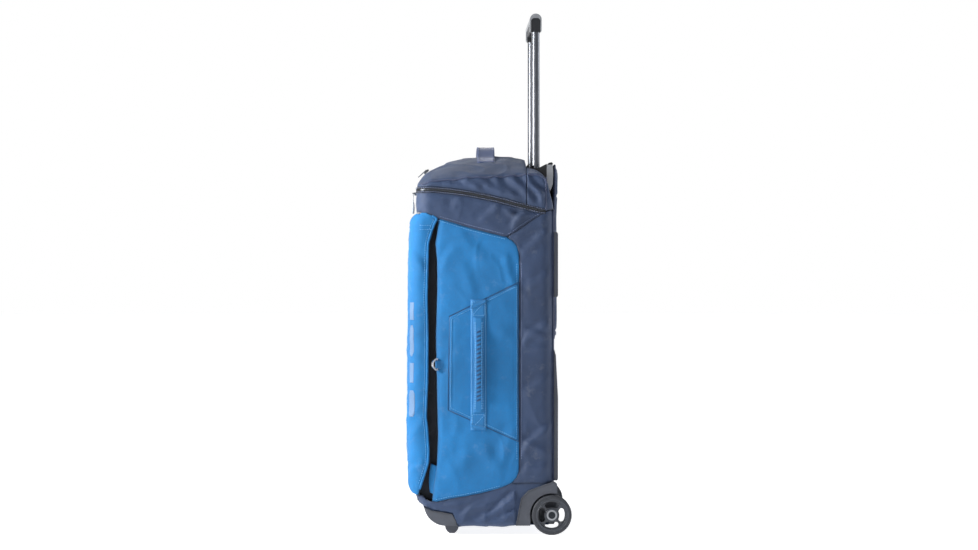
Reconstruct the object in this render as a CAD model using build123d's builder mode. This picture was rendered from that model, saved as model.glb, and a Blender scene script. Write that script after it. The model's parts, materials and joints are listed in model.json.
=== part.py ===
"""Rolling duffel bag with a pull-out handle, two rear wheels and two front feet.

Millimetres. The origin is on the floor under the middle of the bag. +Z is up, the bag's front (the big
U-shaped lid) faces -Y, its back with the pull-out handle faces +Y, and left is -X.
"""

import os
from math import cos, radians, sin

from build123d import *

os.makedirs("parts", exist_ok=True)
SIDES = (("left", -1), ("right", 1))

# Driving dimensions of the fabric body
HALF_WIDTH = 190
FABRIC = 4
PATCH = 1.2
BOTTOM = 19.5
BACK = 138
OPENING = -153
PLAN_RADIUS = 30
ROOF_EDGE = 757
ROOF_CROWN = 809
TALL = 900

# Seams seen from the side, as (Y, Z)
GAP_REAR = -112
GAP_FRONT = -131
REAR_SEAM = 63
SEAM_CORNER = 30
BASE_REAR = 109.3
TOP_SEAM = [(GAP_REAR, 672.5), (5, 638), (REAR_SEAM, 622)]
BOTTOM_SEAM = [(REAR_SEAM, 116), (0, 93), (-54, 81), (GAP_REAR, 73)]
SHOULDER = [(40, 628.3), (119, 685.5), (160, 690)]
ZIP_LINE = [(-170, 731), (-100, 730), (5, 713), (119, 685.5)]
ZIP_GAP = 0.8
LID_CUT = 78.5

# Main lid and its zip
LID_FRONT = -173
LID_BACK = -155.5
LID_HALF = 191
HINGE_Z = 655
ZIP_X = 168
ZIP_Y = -154
ZIP_FOOT = 90
ZIP_TOP = 654
TAPE = 2.5
TAPE_OUT = 180
TAPE_FOOT = 100.3
SEAM_X = 156
GUSSET_X = 170
SLIDER_Z = (150, 176)

# Top pocket's sliders, and the roof pocket's
TOP_SLIDER_X = 9
PULL_PIN = (-163, 728.6)
ROOF_SLIDER_X = 105
ROOF_POINT = (-132, 770)
ROOF_NORMAL = (-0.677, 0.737)

# Grip bay, boards and skids
BAY_HALF = 134
BAY_WALL = 3
BAY_FLOOR = 756
BASE_PLATE_TOP = 28
SKID_X = 164
SKID_FACE = 146
SCREW_RADIUS = 3.5
SCREW_DEPTH = 2.4

# Pull-out handle
TUBE_X = 112
TUBE_Y = 101
TUBE_WALL = 1.2
SLIDE_GAP = 0.3
INNER_OVAL = (22, 17)
OUTER_OVAL = (26, 21)
OUTER_FOOT = 48
HANDLE_TRAVEL = 305
INNER_FOOT = 672
LOCK_Z = INNER_FOOT - 9
PIN_RADIUS = 2.5
RUNNING_GAP = 0.05

# Grip
GRIP_BOTTOM = 1071
GRIP_TOP = 1110.5
GRIP_HALF = 125
GRIP_DEPTH = 25
GRIP_END = 100
CORE_DEPTH = 20
CORE_TOP = 1101
BAR_BOTTOM = 1080
CHANNEL = (1085, 1096)
YOKE = (1090, 1094)
BUTTON_TRAVEL = 4
SPRING_SEAT = 1081.5

# Wheels and the parts that stand on the floor
WHEEL_RADIUS = 42
WHEEL_Y = 132
WHEEL_X = 185
TYRE_WIDTH = 26
RIM_RADIUS = 36
RIM_INSIDE = 30
BEAN_HALF_ANGLE = 23
HUB_RADIUS = 13.5
BEARING_RADIUS = 11
AXLE_RADIUS = 4
AXLE_HEAD = 197.3
WELL_RADIUS = 46
HOUSING_X = (150, 158, 192)
GUARD_X = 118
FOOT_Y = -79
FOOT_X = 130

# Webbing and rings
STRAP_Y = -23
STRAP_Z = 360
RING_X = 193.4
RING_Y = -110.5
RING_Z = 361
RING_LEAN = 40
RING_HALF_TALL = 13
RING_REACH = 14
RING_WIRE = 3.2


def save(part, name):
    """Labels a finished piece and writes its STEP file."""
    part.label = name
    export_step(part, f"parts/{name}.step")


def prism(points, low=-300.0, high=300.0):
    """A side-view outline of (Y, Z) points, drawn out along X from low to high."""
    with BuildPart() as block:
        with BuildSketch(Plane.YZ.offset(low)):
            with BuildLine():
                Polyline(*points, close=True)
            make_face()
        extrude(amount=high - low)
    return block.part


def box(x, y, z):
    """A plain block from its low and high X, Y and Z."""
    with BuildPart() as block:
        with Locations(((x[0] + x[1]) / 2, (y[0] + y[1]) / 2, (z[0] + z[1]) / 2)):
            Box(x[1] - x[0], y[1] - y[0], z[1] - z[0])
    return block.part


def span(sign, low, high):
    """Low and high X of something that lies from low to high on the side that sign names."""
    return sorted((sign * low, sign * high))


def envelope(inset):
    """The stuffed body's outer form, or the same form shrunk by inset on every side."""
    half = HALF_WIDTH - inset
    with BuildPart() as form:
        with BuildSketch(Plane.XY):
            with Locations((0, (BACK + OPENING - 2) / 2)):
                RectangleRounded(2 * half, BACK - OPENING + 2 - 2 * inset, PLAN_RADIUS - inset)
        extrude(amount=TALL)
        with BuildSketch(Plane.XZ):
            with BuildLine():
                Polyline((-half, ROOF_EDGE - inset), (-half, 0), (half, 0), (half, ROOF_EDGE - inset))
                ThreePointArc((-half, ROOF_EDGE - inset), (0, ROOF_CROWN - inset), (half, ROOF_EDGE - inset))
            make_face()
        extrude(amount=300, both=True, mode=Mode.INTERSECT)
        with BuildSketch(Plane.YZ):
            with BuildLine():
                Polyline((125, 735), (BACK, 690), (BACK, BOTTOM), (-92, BOTTOM))
                TangentArc((-92, BOTTOM), (-138, 57.6), tangent=(-1, 0))
                Polyline((-138, 57.6), (-155, 81), (OPENING, 110), (OPENING, 735))
                ThreePointArc((OPENING, 735), (-137, 765), (-107, 785))
                ThreePointArc((-107, 785), (-18, 806.5), (76, 801))
                ThreePointArc((76, 801), (112, 775), (125, 735))
            make_face()
            if inset:
                offset(amount=-inset)
        extrude(amount=HALF_WIDTH + 10, both=True, mode=Mode.INTERSECT)
    return form.part


def oval_tube(outer, wall, low, high, x):
    """A straight tube of oval section that stands at x on the handle's plane."""
    with BuildPart() as tube:
        with BuildSketch(Plane.XY.offset(low)):
            with Locations((x, TUBE_Y)):
                SlotOverall(outer[0], outer[1])
                SlotOverall(outer[0] - 2 * wall, outer[1] - 2 * wall, mode=Mode.SUBTRACT)
        extrude(amount=high - low)
    return tube.part


form = envelope(0)
hollow = envelope(FABRIC)
shell = form - hollow

# The blue panel's outline is shared by every panel that meets it.
with BuildPart() as panel_prism:
    with BuildSketch(Plane.YZ) as panel_outline:
        with BuildLine():
            Polyline(*TOP_SEAM, *BOTTOM_SEAM, close=True)
        make_face()
        fillet(panel_outline.vertices().group_by(Axis.X)[-1], SEAM_CORNER)
    extrude(amount=300, both=True)

HOUSING_OUTLINE = [
    (56.5, BOTTOM), (67.7, 77), (82.3, 93), (124, 108), (135, 112), (143.5, 107), (143.5, 30), (138, BOTTOM),
]
GUARD_OUTLINE = [
    (-150, 64), (-138, 57.6), (-120, 50.5), (-98, 47.5), (-79, 43.5), (-72, 31), (-69, 0), (-150, 0),
]
with BuildPart() as housing_room:
    for side, sign in SIDES:
        add(prism(HOUSING_OUTLINE, *span(sign, HOUSING_X[0], 300)))
with BuildPart() as guard_room:
    for side, sign in SIDES:
        add(prism(GUARD_OUTLINE, *span(sign, GUARD_X, 300)))

# Fabric: side panels, and the reinforcements stitched on them
for side, sign in SIDES:
    with BuildPart() as side_panel:
        add(shell)
        add(panel_prism.part, mode=Mode.INTERSECT)
        add(box(span(sign, 100, 300), (-200, 200), (0, TALL)), mode=Mode.INTERSECT)
    save(side_panel.part, f"side_panel_{side}")

with BuildPart() as side_patches:
    for side, sign in SIDES:
        patch_span = span(sign, HALF_WIDTH, HALF_WIDTH + PATCH)
        add(prism([(-83, 462), (62, 533), (62, 198), (-86, 265)], *patch_span))
save(side_patches.part, "side_patches")

# Fabric: rear shell, from one rear side seam round the back to the other
REAR_OUTLINE = [*SHOULDER, (160, BASE_REAR), (40, BASE_REAR)]
with BuildPart() as rear_shell:
    add(shell)
    add(prism(REAR_OUTLINE), mode=Mode.INTERSECT)
    add(panel_prism.part, mode=Mode.SUBTRACT)
    add(housing_room.part, mode=Mode.SUBTRACT)
save(rear_shell.part, "rear_shell")

# Fabric: base tub, with the lip behind the lid's lower edge and the shelf that closes the gap's foot
BASE_OUTLINE = [
    (-170, ZIP_FOOT), (-146, ZIP_FOOT), (-146, 79.3), (GAP_REAR, 73), (-54, 81), (0, 93),
    (44.6, BASE_REAR), (160, BASE_REAR), (160, 0), (-170, 0),
]
with BuildPart() as shelf:
    add(form)
    add(box((-300, 300), (-146, GAP_REAR + 4), (69, 72.6)), mode=Mode.INTERSECT)
with BuildPart() as base_tub:
    add(shell)
    add(prism(BASE_OUTLINE), mode=Mode.INTERSECT)
    add(shelf.part)
    add(panel_prism.part, mode=Mode.SUBTRACT)
    add(housing_room.part, mode=Mode.SUBTRACT)
    add(guard_room.part, mode=Mode.SUBTRACT)
save(base_tub.part, "base_tub")

# Moulded guards round the two lower front corners
with BuildPart() as corner_guards:
    add(shell)
    add(guard_room.part, mode=Mode.INTERSECT)
save(corner_guards.part, "corner_guards")

# Fabric: top band, between the panel seam and the top pocket's zip
BAND_OUTLINE = [(-170, 681.6), (-130, 681), *TOP_SEAM[:2], *SHOULDER[:2], *ZIP_LINE[2::-1]]
with BuildPart() as top_band:
    add(shell)
    add(prism(BAND_OUTLINE), mode=Mode.INTERSECT)
    add(panel_prism.part, mode=Mode.SUBTRACT)
save(top_band.part, "top_band")

# Fabric: the top pocket's lid, cut back at its lower rear corner so that it can swing up
LID_OUTLINE = [
    *[(y, z + ZIP_GAP) for y, z in ZIP_LINE[:3]],
    (55, 702.4), (LID_CUT, 699.6), (LID_CUT, TALL), (-170, TALL),
]
with BuildPart() as top_lid:
    add(shell)
    add(prism(LID_OUTLINE), mode=Mode.INTERSECT)
save(top_lid.part, "top_lid")

# Fabric: rear cheeks each side of the grip bay, joined below it
CHEEK_OUTLINE = [(LID_CUT + 0.8, TALL), (LID_CUT + 0.8, 695.4), (119, 685.5), (160, 690), (160, TALL)]
with BuildPart() as rear_cheeks:
    add(shell)
    add(prism(CHEEK_OUTLINE), mode=Mode.INTERSECT)
    add(box((-BAY_HALF, BAY_HALF), (60, 200), (735, TALL)), mode=Mode.SUBTRACT)
save(rear_cheeks.part, "rear_cheeks")

# Fabric: the main lid, a shallow tray whose side flaps overhang the zip, and the sewn shoulder it hangs from
FLAP_OUTLINE = [
    (-158, 84), (-166, 88), (-171.5, 106), (LID_FRONT, 240), (-171.5, 640), (-169.5, 666), (-157, 680),
    (-130, 679.5), (-116, 670), (-122, 641), (GAP_FRONT, 600), (GAP_FRONT, 154), (-151, 86),
]
LID_FOOT, LID_SHUT = 86.5, 92
LID_INSIDE = LID_FRONT + 6
with BuildPart() as lid_tray:
    add(prism(FLAP_OUTLINE, -LID_HALF, LID_HALF))
    with BuildSketch(Plane.XY):
        with Locations((0, LID_FRONT / 2)):
            RectangleRounded(2 * LID_HALF, -LID_FRONT, PLAN_RADIUS)
    extrude(amount=TALL, mode=Mode.INTERSECT)
    with BuildSketch(Plane.XY.offset(LID_SHUT)):
        with Locations((0, LID_INSIDE / 2)):
            RectangleRounded(2 * (LID_HALF - FABRIC), -LID_INSIDE, PLAN_RADIUS - FABRIC)
    extrude(amount=670 - LID_SHUT, mode=Mode.SUBTRACT)
    inside = (FABRIC - LID_HALF, LID_HALF - FABRIC)
    add(box(inside, (LID_BACK, -100), (0, TALL)), mode=Mode.SUBTRACT)
    add(box((-300, 300), (LID_BACK, -100), (0, LID_FOOT)), mode=Mode.SUBTRACT)
    add(box((-300, 300), (LID_BACK, -100), (671, TALL)), mode=Mode.SUBTRACT)

with BuildPart() as main_lid:
    add(lid_tray.part)
    add(box((-300, 300), (-300, 300), (HINGE_Z - 0.6, TALL)), mode=Mode.SUBTRACT)
    for side, sign in SIDES:
        add(box(span(sign, SEAM_X, SEAM_X + 3), (LID_INSIDE, ZIP_Y), (TAPE_FOOT + 9, HINGE_Z - 1)))
    add(box((-SEAM_X, SEAM_X), (LID_INSIDE, ZIP_Y), (TAPE_FOOT + 9, TAPE_FOOT + 12)))
save(main_lid.part, "main_lid")

with BuildPart() as lid_shoulder:
    add(lid_tray.part)
    add(box((-300, 300), (-300, 300), (0, HINGE_Z + 0.6)), mode=Mode.SUBTRACT)
save(lid_shoulder.part, "lid_shoulder")

# Zip gussets: the recessed strips between the zip and the side panels
with BuildPart() as zip_gussets:
    for side, sign in SIDES:
        gusset_span = span(sign, GUSSET_X - FABRIC, GUSSET_X)
        add(box(gusset_span, (-145, GAP_REAR + 4), (73, 668)))
        add(box(gusset_span, (ZIP_Y + TAPE, -145), (ZIP_FOOT + 0.5, 668)))
        add(box(span(sign, GUSSET_X, HALF_WIDTH - FABRIC), (GAP_REAR, GAP_REAR + 4), (74.5, 668)))
save(zip_gussets.part, "zip_gussets")

# The floor of the top pocket, with the upstand that backs the shoulder
with BuildPart() as pocket_divider:
    add(box((-185, 185), (-148, 79), (668.2, 671.2)))
    add(box((-162, 162), (-152.8, -148), (668.2, 681)))
save(pocket_divider.part, "pocket_divider")

# Stiffening and lining boards
with BuildPart() as base_plate:
    with BuildSketch(Plane.XY.offset(BOTTOM + FABRIC)):
        with Locations((0, 10)):
            RectangleRounded(292, 196, 20)
    extrude(amount=BASE_PLATE_TOP - BOTTOM - FABRIC)
save(base_plate.part, "base_plate")

with BuildPart() as frame_board:
    add(box((-145, 145), (130.5, 133.5), (BASE_PLATE_TOP, 685)))
    fillet(frame_board.edges().filter_by(Axis.Y), 12)
save(frame_board.part, "frame_board")

with BuildPart() as channel_liner:
    add(box((-182, 182), (80, 82.5), (BASE_PLATE_TOP, 734)))
    add(housing_room.part, mode=Mode.SUBTRACT)
save(channel_liner.part, "channel_liner")

# Back pad, a padded panel that stands up behind the grip bay
PAD_OUTLINE = [
    (BACK, 410), (142, 416), (142, 700), (144.5, 745), (141.5, 786), (138.2, 789), (BACK, 690),
]
with BuildPart() as back_pad:
    add(prism(PAD_OUTLINE, -130, 130))
save(back_pad.part, "back_pad")

# Grip bay: the black tray that takes the folded grip, with the lip along its scoop
BAY_SIDE = [(86, BAY_FLOOR), (86, 778), (108, 780), (124, 788), (124, BAY_FLOOR)]
BAY_LIP = [(126, 786), (136.5, 786), (137.5, 788.5), (135, 791.5), (128, 790)]
with BuildPart() as grip_bay:
    add(box((-BAY_HALF, BAY_HALF), (83, 124), (BAY_FLOOR - BAY_WALL, BAY_FLOOR)))
    add(box((-BAY_HALF, BAY_HALF), (83, 86), (BAY_FLOOR, 786)))
    for side, sign in SIDES:
        add(prism(BAY_SIDE, *span(sign, BAY_HALF - BAY_WALL, BAY_HALF)))
        with BuildSketch(Plane.XY.offset(BAY_FLOOR - 10)):
            with Locations((sign * TUBE_X, TUBE_Y)):
                SlotOverall(OUTER_OVAL[0] + 0.4, OUTER_OVAL[1] + 0.4)
        extrude(amount=20, mode=Mode.SUBTRACT)
    add(prism(BAY_LIP, -BAY_HALF, BAY_HALF))
save(grip_bay.part, "grip_bay")

SCOOP_OUTLINE = [(124, 786), (124, 760), (127, 738), (132, 730), (137, 745), (137.8, 770), (136.5, 786)]
with BuildPart() as bay_scoop:
    add(prism(SCOOP_OUTLINE, -BAY_HALF, BAY_HALF))
save(bay_scoop.part, "bay_scoop")

# Skids down the back, and the screws that hold them
LOWER_SKID = [(BACK, 114), (144, 114), (SKID_FACE, 117), (SKID_FACE, 290), (141.5, 380), (BACK, 392)]
UPPER_SKID = [(BACK, 503), (144, 503), (SKID_FACE, 507), (SKID_FACE, 637), (144, 641), (BACK, 641)]
for name, outline, screw_heights in (("lower", LOWER_SKID, (165, 270)), ("upper", UPPER_SKID, (530, 615))):
    with BuildPart() as skids:
        for side, sign in SIDES:
            add(prism(outline, *span(sign, SKID_X - 14, SKID_X + 14)))
        with BuildSketch(Plane.XZ.offset(-SKID_FACE)):
            for side, sign in SIDES:
                for z in screw_heights:
                    with Locations((sign * SKID_X, z)):
                        Circle(SCREW_RADIUS + 0.1)
        extrude(amount=SCREW_DEPTH, mode=Mode.SUBTRACT)
    save(skids.part, f"{name}_skids")

with BuildPart() as skid_screws:
    with BuildSketch(Plane.XZ.offset(-SKID_FACE + SCREW_DEPTH)):
        for side, sign in SIDES:
            for z in (165, 270, 530, 615):
                with Locations((sign * SKID_X, z)):
                    Circle(SCREW_RADIUS)
    extrude(amount=-1.6)
save(skid_screws.part, "skid_screws")

# Front feet
with BuildPart() as front_feet:
    for side, sign in SIDES:
        with BuildSketch(Plane.YZ.offset(sign * FOOT_X - 20)):
            with BuildLine():
                ThreePointArc((FOOT_Y - 14.5, BOTTOM), (FOOT_Y - 11.5, 6), (FOOT_Y - 5, 0))
                Line((FOOT_Y - 5, 0), (FOOT_Y + 5, 0))
                ThreePointArc((FOOT_Y + 5, 0), (FOOT_Y + 11.5, 6), (FOOT_Y + 14.5, BOTTOM))
                Line((FOOT_Y + 14.5, BOTTOM), (FOOT_Y - 14.5, BOTTOM))
            make_face()
        extrude(amount=40)
save(front_feet.part, "front_feet")

# Wheel housings, axles, wheels
with BuildPart() as wheel_housings:
    for side, sign in SIDES:
        add(prism(HOUSING_OUTLINE, *sorted((sign * HOUSING_X[0], sign * HOUSING_X[-1]))))
    for side, sign in SIDES:
        inner, wall = (sign * x for x in HOUSING_X[:2])
        with BuildSketch(Plane.YZ.offset(wall)):
            with Locations((WHEEL_Y, WHEEL_RADIUS)):
                Circle(WELL_RADIUS)
        extrude(amount=sign * 60, mode=Mode.SUBTRACT)
        add(box(sorted((wall, wall + sign * 60)), (86.5, 200), (0, WHEEL_RADIUS)), mode=Mode.SUBTRACT)
        with BuildSketch(Plane.YZ.offset(wall)):
            with Locations((WHEEL_Y, WHEEL_RADIUS)):
                Circle(9)
        extrude(amount=sign * 10)
        for radius, depth in ((AXLE_RADIUS, 30), (7.2, 4)):
            with BuildSketch(Plane.YZ.offset(inner)):
                with Locations((WHEEL_Y, WHEEL_RADIUS)):
                    Circle(radius)
            extrude(amount=sign * depth, mode=Mode.SUBTRACT)
save(wheel_housings.part, "wheel_housings")

with BuildPart() as axles:
    for side, sign in SIDES:
        for start, length, radius in ((150, 4, 7), (154, AXLE_HEAD - 154, AXLE_RADIUS), (AXLE_HEAD, 2.5, 7.5)):
            with BuildSketch(Plane.YZ.offset(sign * start)):
                with Locations((WHEEL_Y, WHEEL_RADIUS)):
                    Circle(radius)
            extrude(amount=sign * length)
        with BuildSketch(Plane.YZ.offset(sign * (AXLE_HEAD + 0.5))):
            with Locations((WHEEL_Y, WHEEL_RADIUS)):
                RegularPolygon(2.5, 6)
        extrude(amount=sign * 5, mode=Mode.SUBTRACT)
save(axles.part, "axles")

bean_line = CenterArc((0, 0), 22, -BEAN_HALF_ANGLE, 2 * BEAN_HALF_ANGLE)
for side, sign in SIDES:
    face = sign * (WHEEL_X - TYRE_WIDTH / 2)
    with BuildPart() as tyre:
        with BuildSketch(Plane.YZ.offset(face)):
            with Locations((WHEEL_Y, WHEEL_RADIUS)):
                Circle(WHEEL_RADIUS)
                Circle(RIM_RADIUS, mode=Mode.SUBTRACT)
        extrude(amount=sign * TYRE_WIDTH)
        fillet(tyre.edges().filter_by(GeomType.CIRCLE).group_by(SortBy.RADIUS)[-1], 3)
    save(tyre.part, f"wheel_tyre_{side}")

    with BuildPart() as rim:
        with BuildSketch(Plane.YZ.offset(face + sign)):
            with Locations((WHEEL_Y, WHEEL_RADIUS)):
                Circle(RIM_RADIUS)
                Circle(RIM_INSIDE, mode=Mode.SUBTRACT)
                Circle(HUB_RADIUS)
        extrude(amount=sign * (TYRE_WIDTH - 2))
        with BuildSketch(Plane.YZ.offset(face + sign * 7)):
            with Locations((WHEEL_Y, WHEEL_RADIUS)):
                Circle(RIM_INSIDE + 1)
                with PolarLocations(0, 4):
                    SlotArc(bean_line, 12, mode=Mode.SUBTRACT)
        extrude(amount=sign * (TYRE_WIDTH - 12))
        with BuildSketch(Plane.YZ.offset(face - sign)):
            with Locations((WHEEL_Y, WHEEL_RADIUS)):
                Circle(BEARING_RADIUS)
        extrude(amount=sign * (TYRE_WIDTH + 2), mode=Mode.SUBTRACT)
    save(rim.part, f"wheel_rim_{side}")

    with BuildPart() as bearings:
        for start in (1, TYRE_WIDTH - 8):
            with BuildSketch(Plane.YZ.offset(face + sign * start)):
                with Locations((WHEEL_Y, WHEEL_RADIUS)):
                    Circle(BEARING_RADIUS)
                    Circle(AXLE_RADIUS + RUNNING_GAP, mode=Mode.SUBTRACT)
            extrude(amount=sign * 7)
    save(bearings.part, f"wheel_bearings_{side}")

# Handle: fixed outer tubes in their foot blocks, and the collars at the bay floor
with BuildPart() as outer_tubes:
    for side, sign in SIDES:
        add(oval_tube(OUTER_OVAL, TUBE_WALL, OUTER_FOOT, BAY_FLOOR, sign * TUBE_X))
        for z in (LOCK_Z, LOCK_Z - HANDLE_TRAVEL):
            with BuildSketch(Plane.YZ.offset(sign * TUBE_X)):
                with Locations((TUBE_Y, z)):
                    Circle(PIN_RADIUS + 0.4)
            extrude(amount=sign * 20, mode=Mode.SUBTRACT)
save(outer_tubes.part, "outer_tubes")

with BuildPart() as tube_feet:
    for side, sign in SIDES:
        foot_span = span(sign, TUBE_X - 19, TUBE_X + 19)
        add(box(foot_span, (86, 130.5), (BASE_PLATE_TOP, 72)))
        with BuildSketch(Plane.XY.offset(OUTER_FOOT)):
            with Locations((sign * TUBE_X, TUBE_Y)):
                SlotOverall(*OUTER_OVAL)
        extrude(amount=60, mode=Mode.SUBTRACT)
save(tube_feet.part, "tube_feet")

COLLAR_OVAL = (OUTER_OVAL[0] + 5, OUTER_OVAL[1] + 5)
COLLAR_WALL = (COLLAR_OVAL[0] - INNER_OVAL[0]) / 2 - SLIDE_GAP
with BuildPart() as tube_collars:
    for side, sign in SIDES:
        add(oval_tube(COLLAR_OVAL, COLLAR_WALL, BAY_FLOOR, BAY_FLOOR + 8, sign * TUBE_X))
save(tube_collars.part, "tube_collars")

# Handle: sliding inner tubes with their lock blocks and lock pins
with BuildPart() as inner_tubes:
    for side, sign in SIDES:
        add(oval_tube(INNER_OVAL, TUBE_WALL, INNER_FOOT, GRIP_BOTTOM + 8, sign * TUBE_X))
save(inner_tubes.part, "inner_tubes")

with BuildPart() as lock_blocks:
    for side, sign in SIDES:
        x = sign * TUBE_X
        with BuildSketch(Plane.XY.offset(INNER_FOOT - 18)):
            with Locations((x, TUBE_Y)):
                SlotOverall(*[size - 2 * TUBE_WALL - 2 * SLIDE_GAP for size in OUTER_OVAL])
        extrude(amount=18)
        with BuildSketch(Plane.XY.offset(INNER_FOOT)):
            with Locations((x, TUBE_Y)):
                SlotOverall(*[size - 2 * TUBE_WALL for size in INNER_OVAL])
        extrude(amount=16)
        with BuildSketch(Plane.YZ.offset(x - sign * 3)):
            with Locations((TUBE_Y, LOCK_Z)):
                Circle(PIN_RADIUS + RUNNING_GAP)
        extrude(amount=sign * 30, mode=Mode.SUBTRACT)
        with BuildSketch(Plane.XY.offset(LOCK_Z + 4)):
            with Locations((x, TUBE_Y)):
                Circle(2.4)
        extrude(amount=40, mode=Mode.SUBTRACT)
save(lock_blocks.part, "lock_blocks")

for side, sign in SIDES:
    with BuildPart() as lock_pin:
        with BuildSketch(Plane.YZ.offset(sign * (TUBE_X + 3.2))):
            with Locations((TUBE_Y, LOCK_Z)):
                Circle(PIN_RADIUS)
        extrude(amount=sign * 8)
        chamfer(lock_pin.faces().sort_by(Axis.X)[-1 if sign > 0 else 0].edges(), 0.8)
    save(lock_pin.part, f"lock_pin_{side}")

# Handle: grip core with its release channel, cover, button, yoke with rods, and return spring
BAR_SPAN = (TUBE_Y - CORE_DEPTH / 2, TUBE_Y + CORE_DEPTH / 2)
with BuildPart() as grip_core:
    add(box((1 - GRIP_HALF, GRIP_HALF - 1), BAR_SPAN, (BAR_BOTTOM, CORE_TOP)))
    for side, sign in SIDES:
        add(box(span(sign, GRIP_END, GRIP_HALF - 1), BAR_SPAN, (GRIP_BOTTOM, BAR_BOTTOM)))
    fillet(grip_core.edges().filter_by(Axis.X).group_by(Axis.Z)[-1], 7)
    add(box((-118, 118), (TUBE_Y - 4, TUBE_Y + 4), CHANNEL), mode=Mode.SUBTRACT)
    for side, sign in SIDES:
        with BuildSketch(Plane.XY.offset(GRIP_BOTTOM)):
            with Locations((sign * TUBE_X, TUBE_Y)):
                SlotOverall(*INNER_OVAL)
        extrude(amount=8, mode=Mode.SUBTRACT)
        with BuildSketch(Plane.XY.offset(GRIP_BOTTOM)):
            with Locations((sign * TUBE_X, TUBE_Y)):
                Circle(3)
        extrude(amount=20, mode=Mode.SUBTRACT)
    with BuildSketch(Plane.XY.offset(SPRING_SEAT)):
        with Locations((0, TUBE_Y)):
            Circle(5)
    extrude(amount=5, mode=Mode.SUBTRACT)
    with BuildSketch(Plane.XY.offset(CHANNEL[0])):
        with Locations((0, TUBE_Y)):
            SlotOverall(30.8, 12.8)
    extrude(amount=40, mode=Mode.SUBTRACT)
save(grip_core.part, "grip_core")

COVER_SPAN = (TUBE_Y - GRIP_DEPTH / 2, TUBE_Y + GRIP_DEPTH / 2)
with BuildPart() as grip_cover:
    with BuildSketch(Plane.YZ.offset(-GRIP_HALF)):
        with BuildLine():
            Polyline((COVER_SPAN[0], 1096), (COVER_SPAN[0], 1073), (COVER_SPAN[1], 1073), (COVER_SPAN[1], 1096))
            ThreePointArc((COVER_SPAN[1], 1096), (TUBE_Y, GRIP_TOP), (COVER_SPAN[0], 1096))
        make_face()
    extrude(amount=2 * GRIP_HALF)
    with BuildSketch(Plane.YZ.offset(-GRIP_HALF - 1)) as core_section:
        with Locations((TUBE_Y, (CORE_TOP + 1050) / 2)):
            Rectangle(CORE_DEPTH, CORE_TOP - 1050)
        fillet(core_section.vertices().group_by(Axis.Y)[-1], 7)
    extrude(amount=2 * GRIP_HALF + 2, mode=Mode.SUBTRACT)
    add(box((-GRIP_END, GRIP_END), (0, 200), (1000, 1091)), mode=Mode.SUBTRACT)
    with BuildSketch(Plane.XY.offset(1095)):
        with Locations((0, TUBE_Y)):
            SlotOverall(30.8, 12.8)
    extrude(amount=40, mode=Mode.SUBTRACT)
save(grip_cover.part, "grip_cover")

BUTTON_FOOT = YOKE[1] + BUTTON_TRAVEL + 2
with BuildPart() as grip_button:
    with BuildSketch(Plane.XY.offset(BUTTON_FOOT)):
        with Locations((0, TUBE_Y)):
            SlotOverall(30, 12)
    extrude(amount=GRIP_TOP + 0.8 - BUTTON_FOOT)
    fillet(grip_button.faces().sort_by(Axis.Z)[-1].edges(), 1.2)
    with BuildSketch(Plane.XY.offset(YOKE[1])):
        with Locations((0, TUBE_Y)):
            Circle(3)
    extrude(amount=BUTTON_TRAVEL + 3)
save(grip_button.part, "grip_button")

with BuildPart() as release_yoke:
    add(box((-TUBE_X - 4, TUBE_X + 4), (TUBE_Y - 3.5, TUBE_Y + 3.5), YOKE))
    for side, sign in SIDES:
        with BuildSketch(Plane.XY.offset(LOCK_Z + 8.5)):
            with Locations((sign * TUBE_X, TUBE_Y)):
                Circle(1.5)
        extrude(amount=YOKE[0] - LOCK_Z - 8.5)
save(release_yoke.part, "release_yoke")

with BuildPart() as button_spring:
    with BuildLine():
        coil = Helix(pitch=1.2, height=2.4, radius=3.4, center=(0, TUBE_Y, YOKE[0] - 3))
    with BuildSketch(Plane(origin=coil @ 0, z_dir=coil % 0)):
        Circle(0.4)
    sweep(is_frenet=True)
save(button_spring.part, "button_spring")

# Webbing: top carry handle, sewn to the top lid
with BuildPart() as top_handle:
    with BuildSketch(Plane.XZ.offset(-14)):
        with BuildLine():
            Polyline((-92, 799.6), (-72, 804.5), (-52, 823))
            ThreePointArc((-52, 823), (0, 828.5), (52, 823))
            Polyline((52, 823), (72, 804.5), (92, 799.6))
        trace(line_width=3)
    extrude(amount=38)
save(top_handle.part, "top_handle")

# Webbing: side carry handles, each a long strap sewn to the panel with a free grip over it
STRAP_SKIN = HALF_WIDTH + PATCH
GRIP_SKIN = STRAP_SKIN + 1.4
with BuildPart() as side_straps:
    for side, sign in SIDES:
        strap_height = (STRAP_Z - 138, STRAP_Z + 138)
        add(box(span(sign, STRAP_SKIN, GRIP_SKIN), (STRAP_Y - 17, STRAP_Y + 17), strap_height))
save(side_straps.part, "side_straps")

for side, sign in SIDES:
    low, high = sign * GRIP_SKIN, sign * (GRIP_SKIN + 10)
    with BuildPart() as side_grip:
        with BuildSketch(Plane.XZ.offset(-STRAP_Y - 10)):
            with BuildLine():
                Polyline(
                    (low, STRAP_Z - 100), (low, STRAP_Z + 100), (low + sign * 2, STRAP_Z + 100),
                    (low + sign * 2, STRAP_Z + 84), (high, STRAP_Z + 62), (high, STRAP_Z - 62),
                    (low + sign * 2, STRAP_Z - 84), (low + sign * 2, STRAP_Z - 100), close=True,
                )
            make_face()
        extrude(amount=20)
        with BuildSketch(Plane.XZ.offset(-STRAP_Y - 30)):
            with BuildLine():
                Polyline(
                    (low, STRAP_Z + 82), (high - sign * 2.8, STRAP_Z + 60),
                    (high - sign * 2.8, STRAP_Z - 60), (low, STRAP_Z - 82), close=True,
                )
            make_face()
        extrude(amount=60, mode=Mode.SUBTRACT)
    save(side_grip.part, f"side_grip_{side}")

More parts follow.
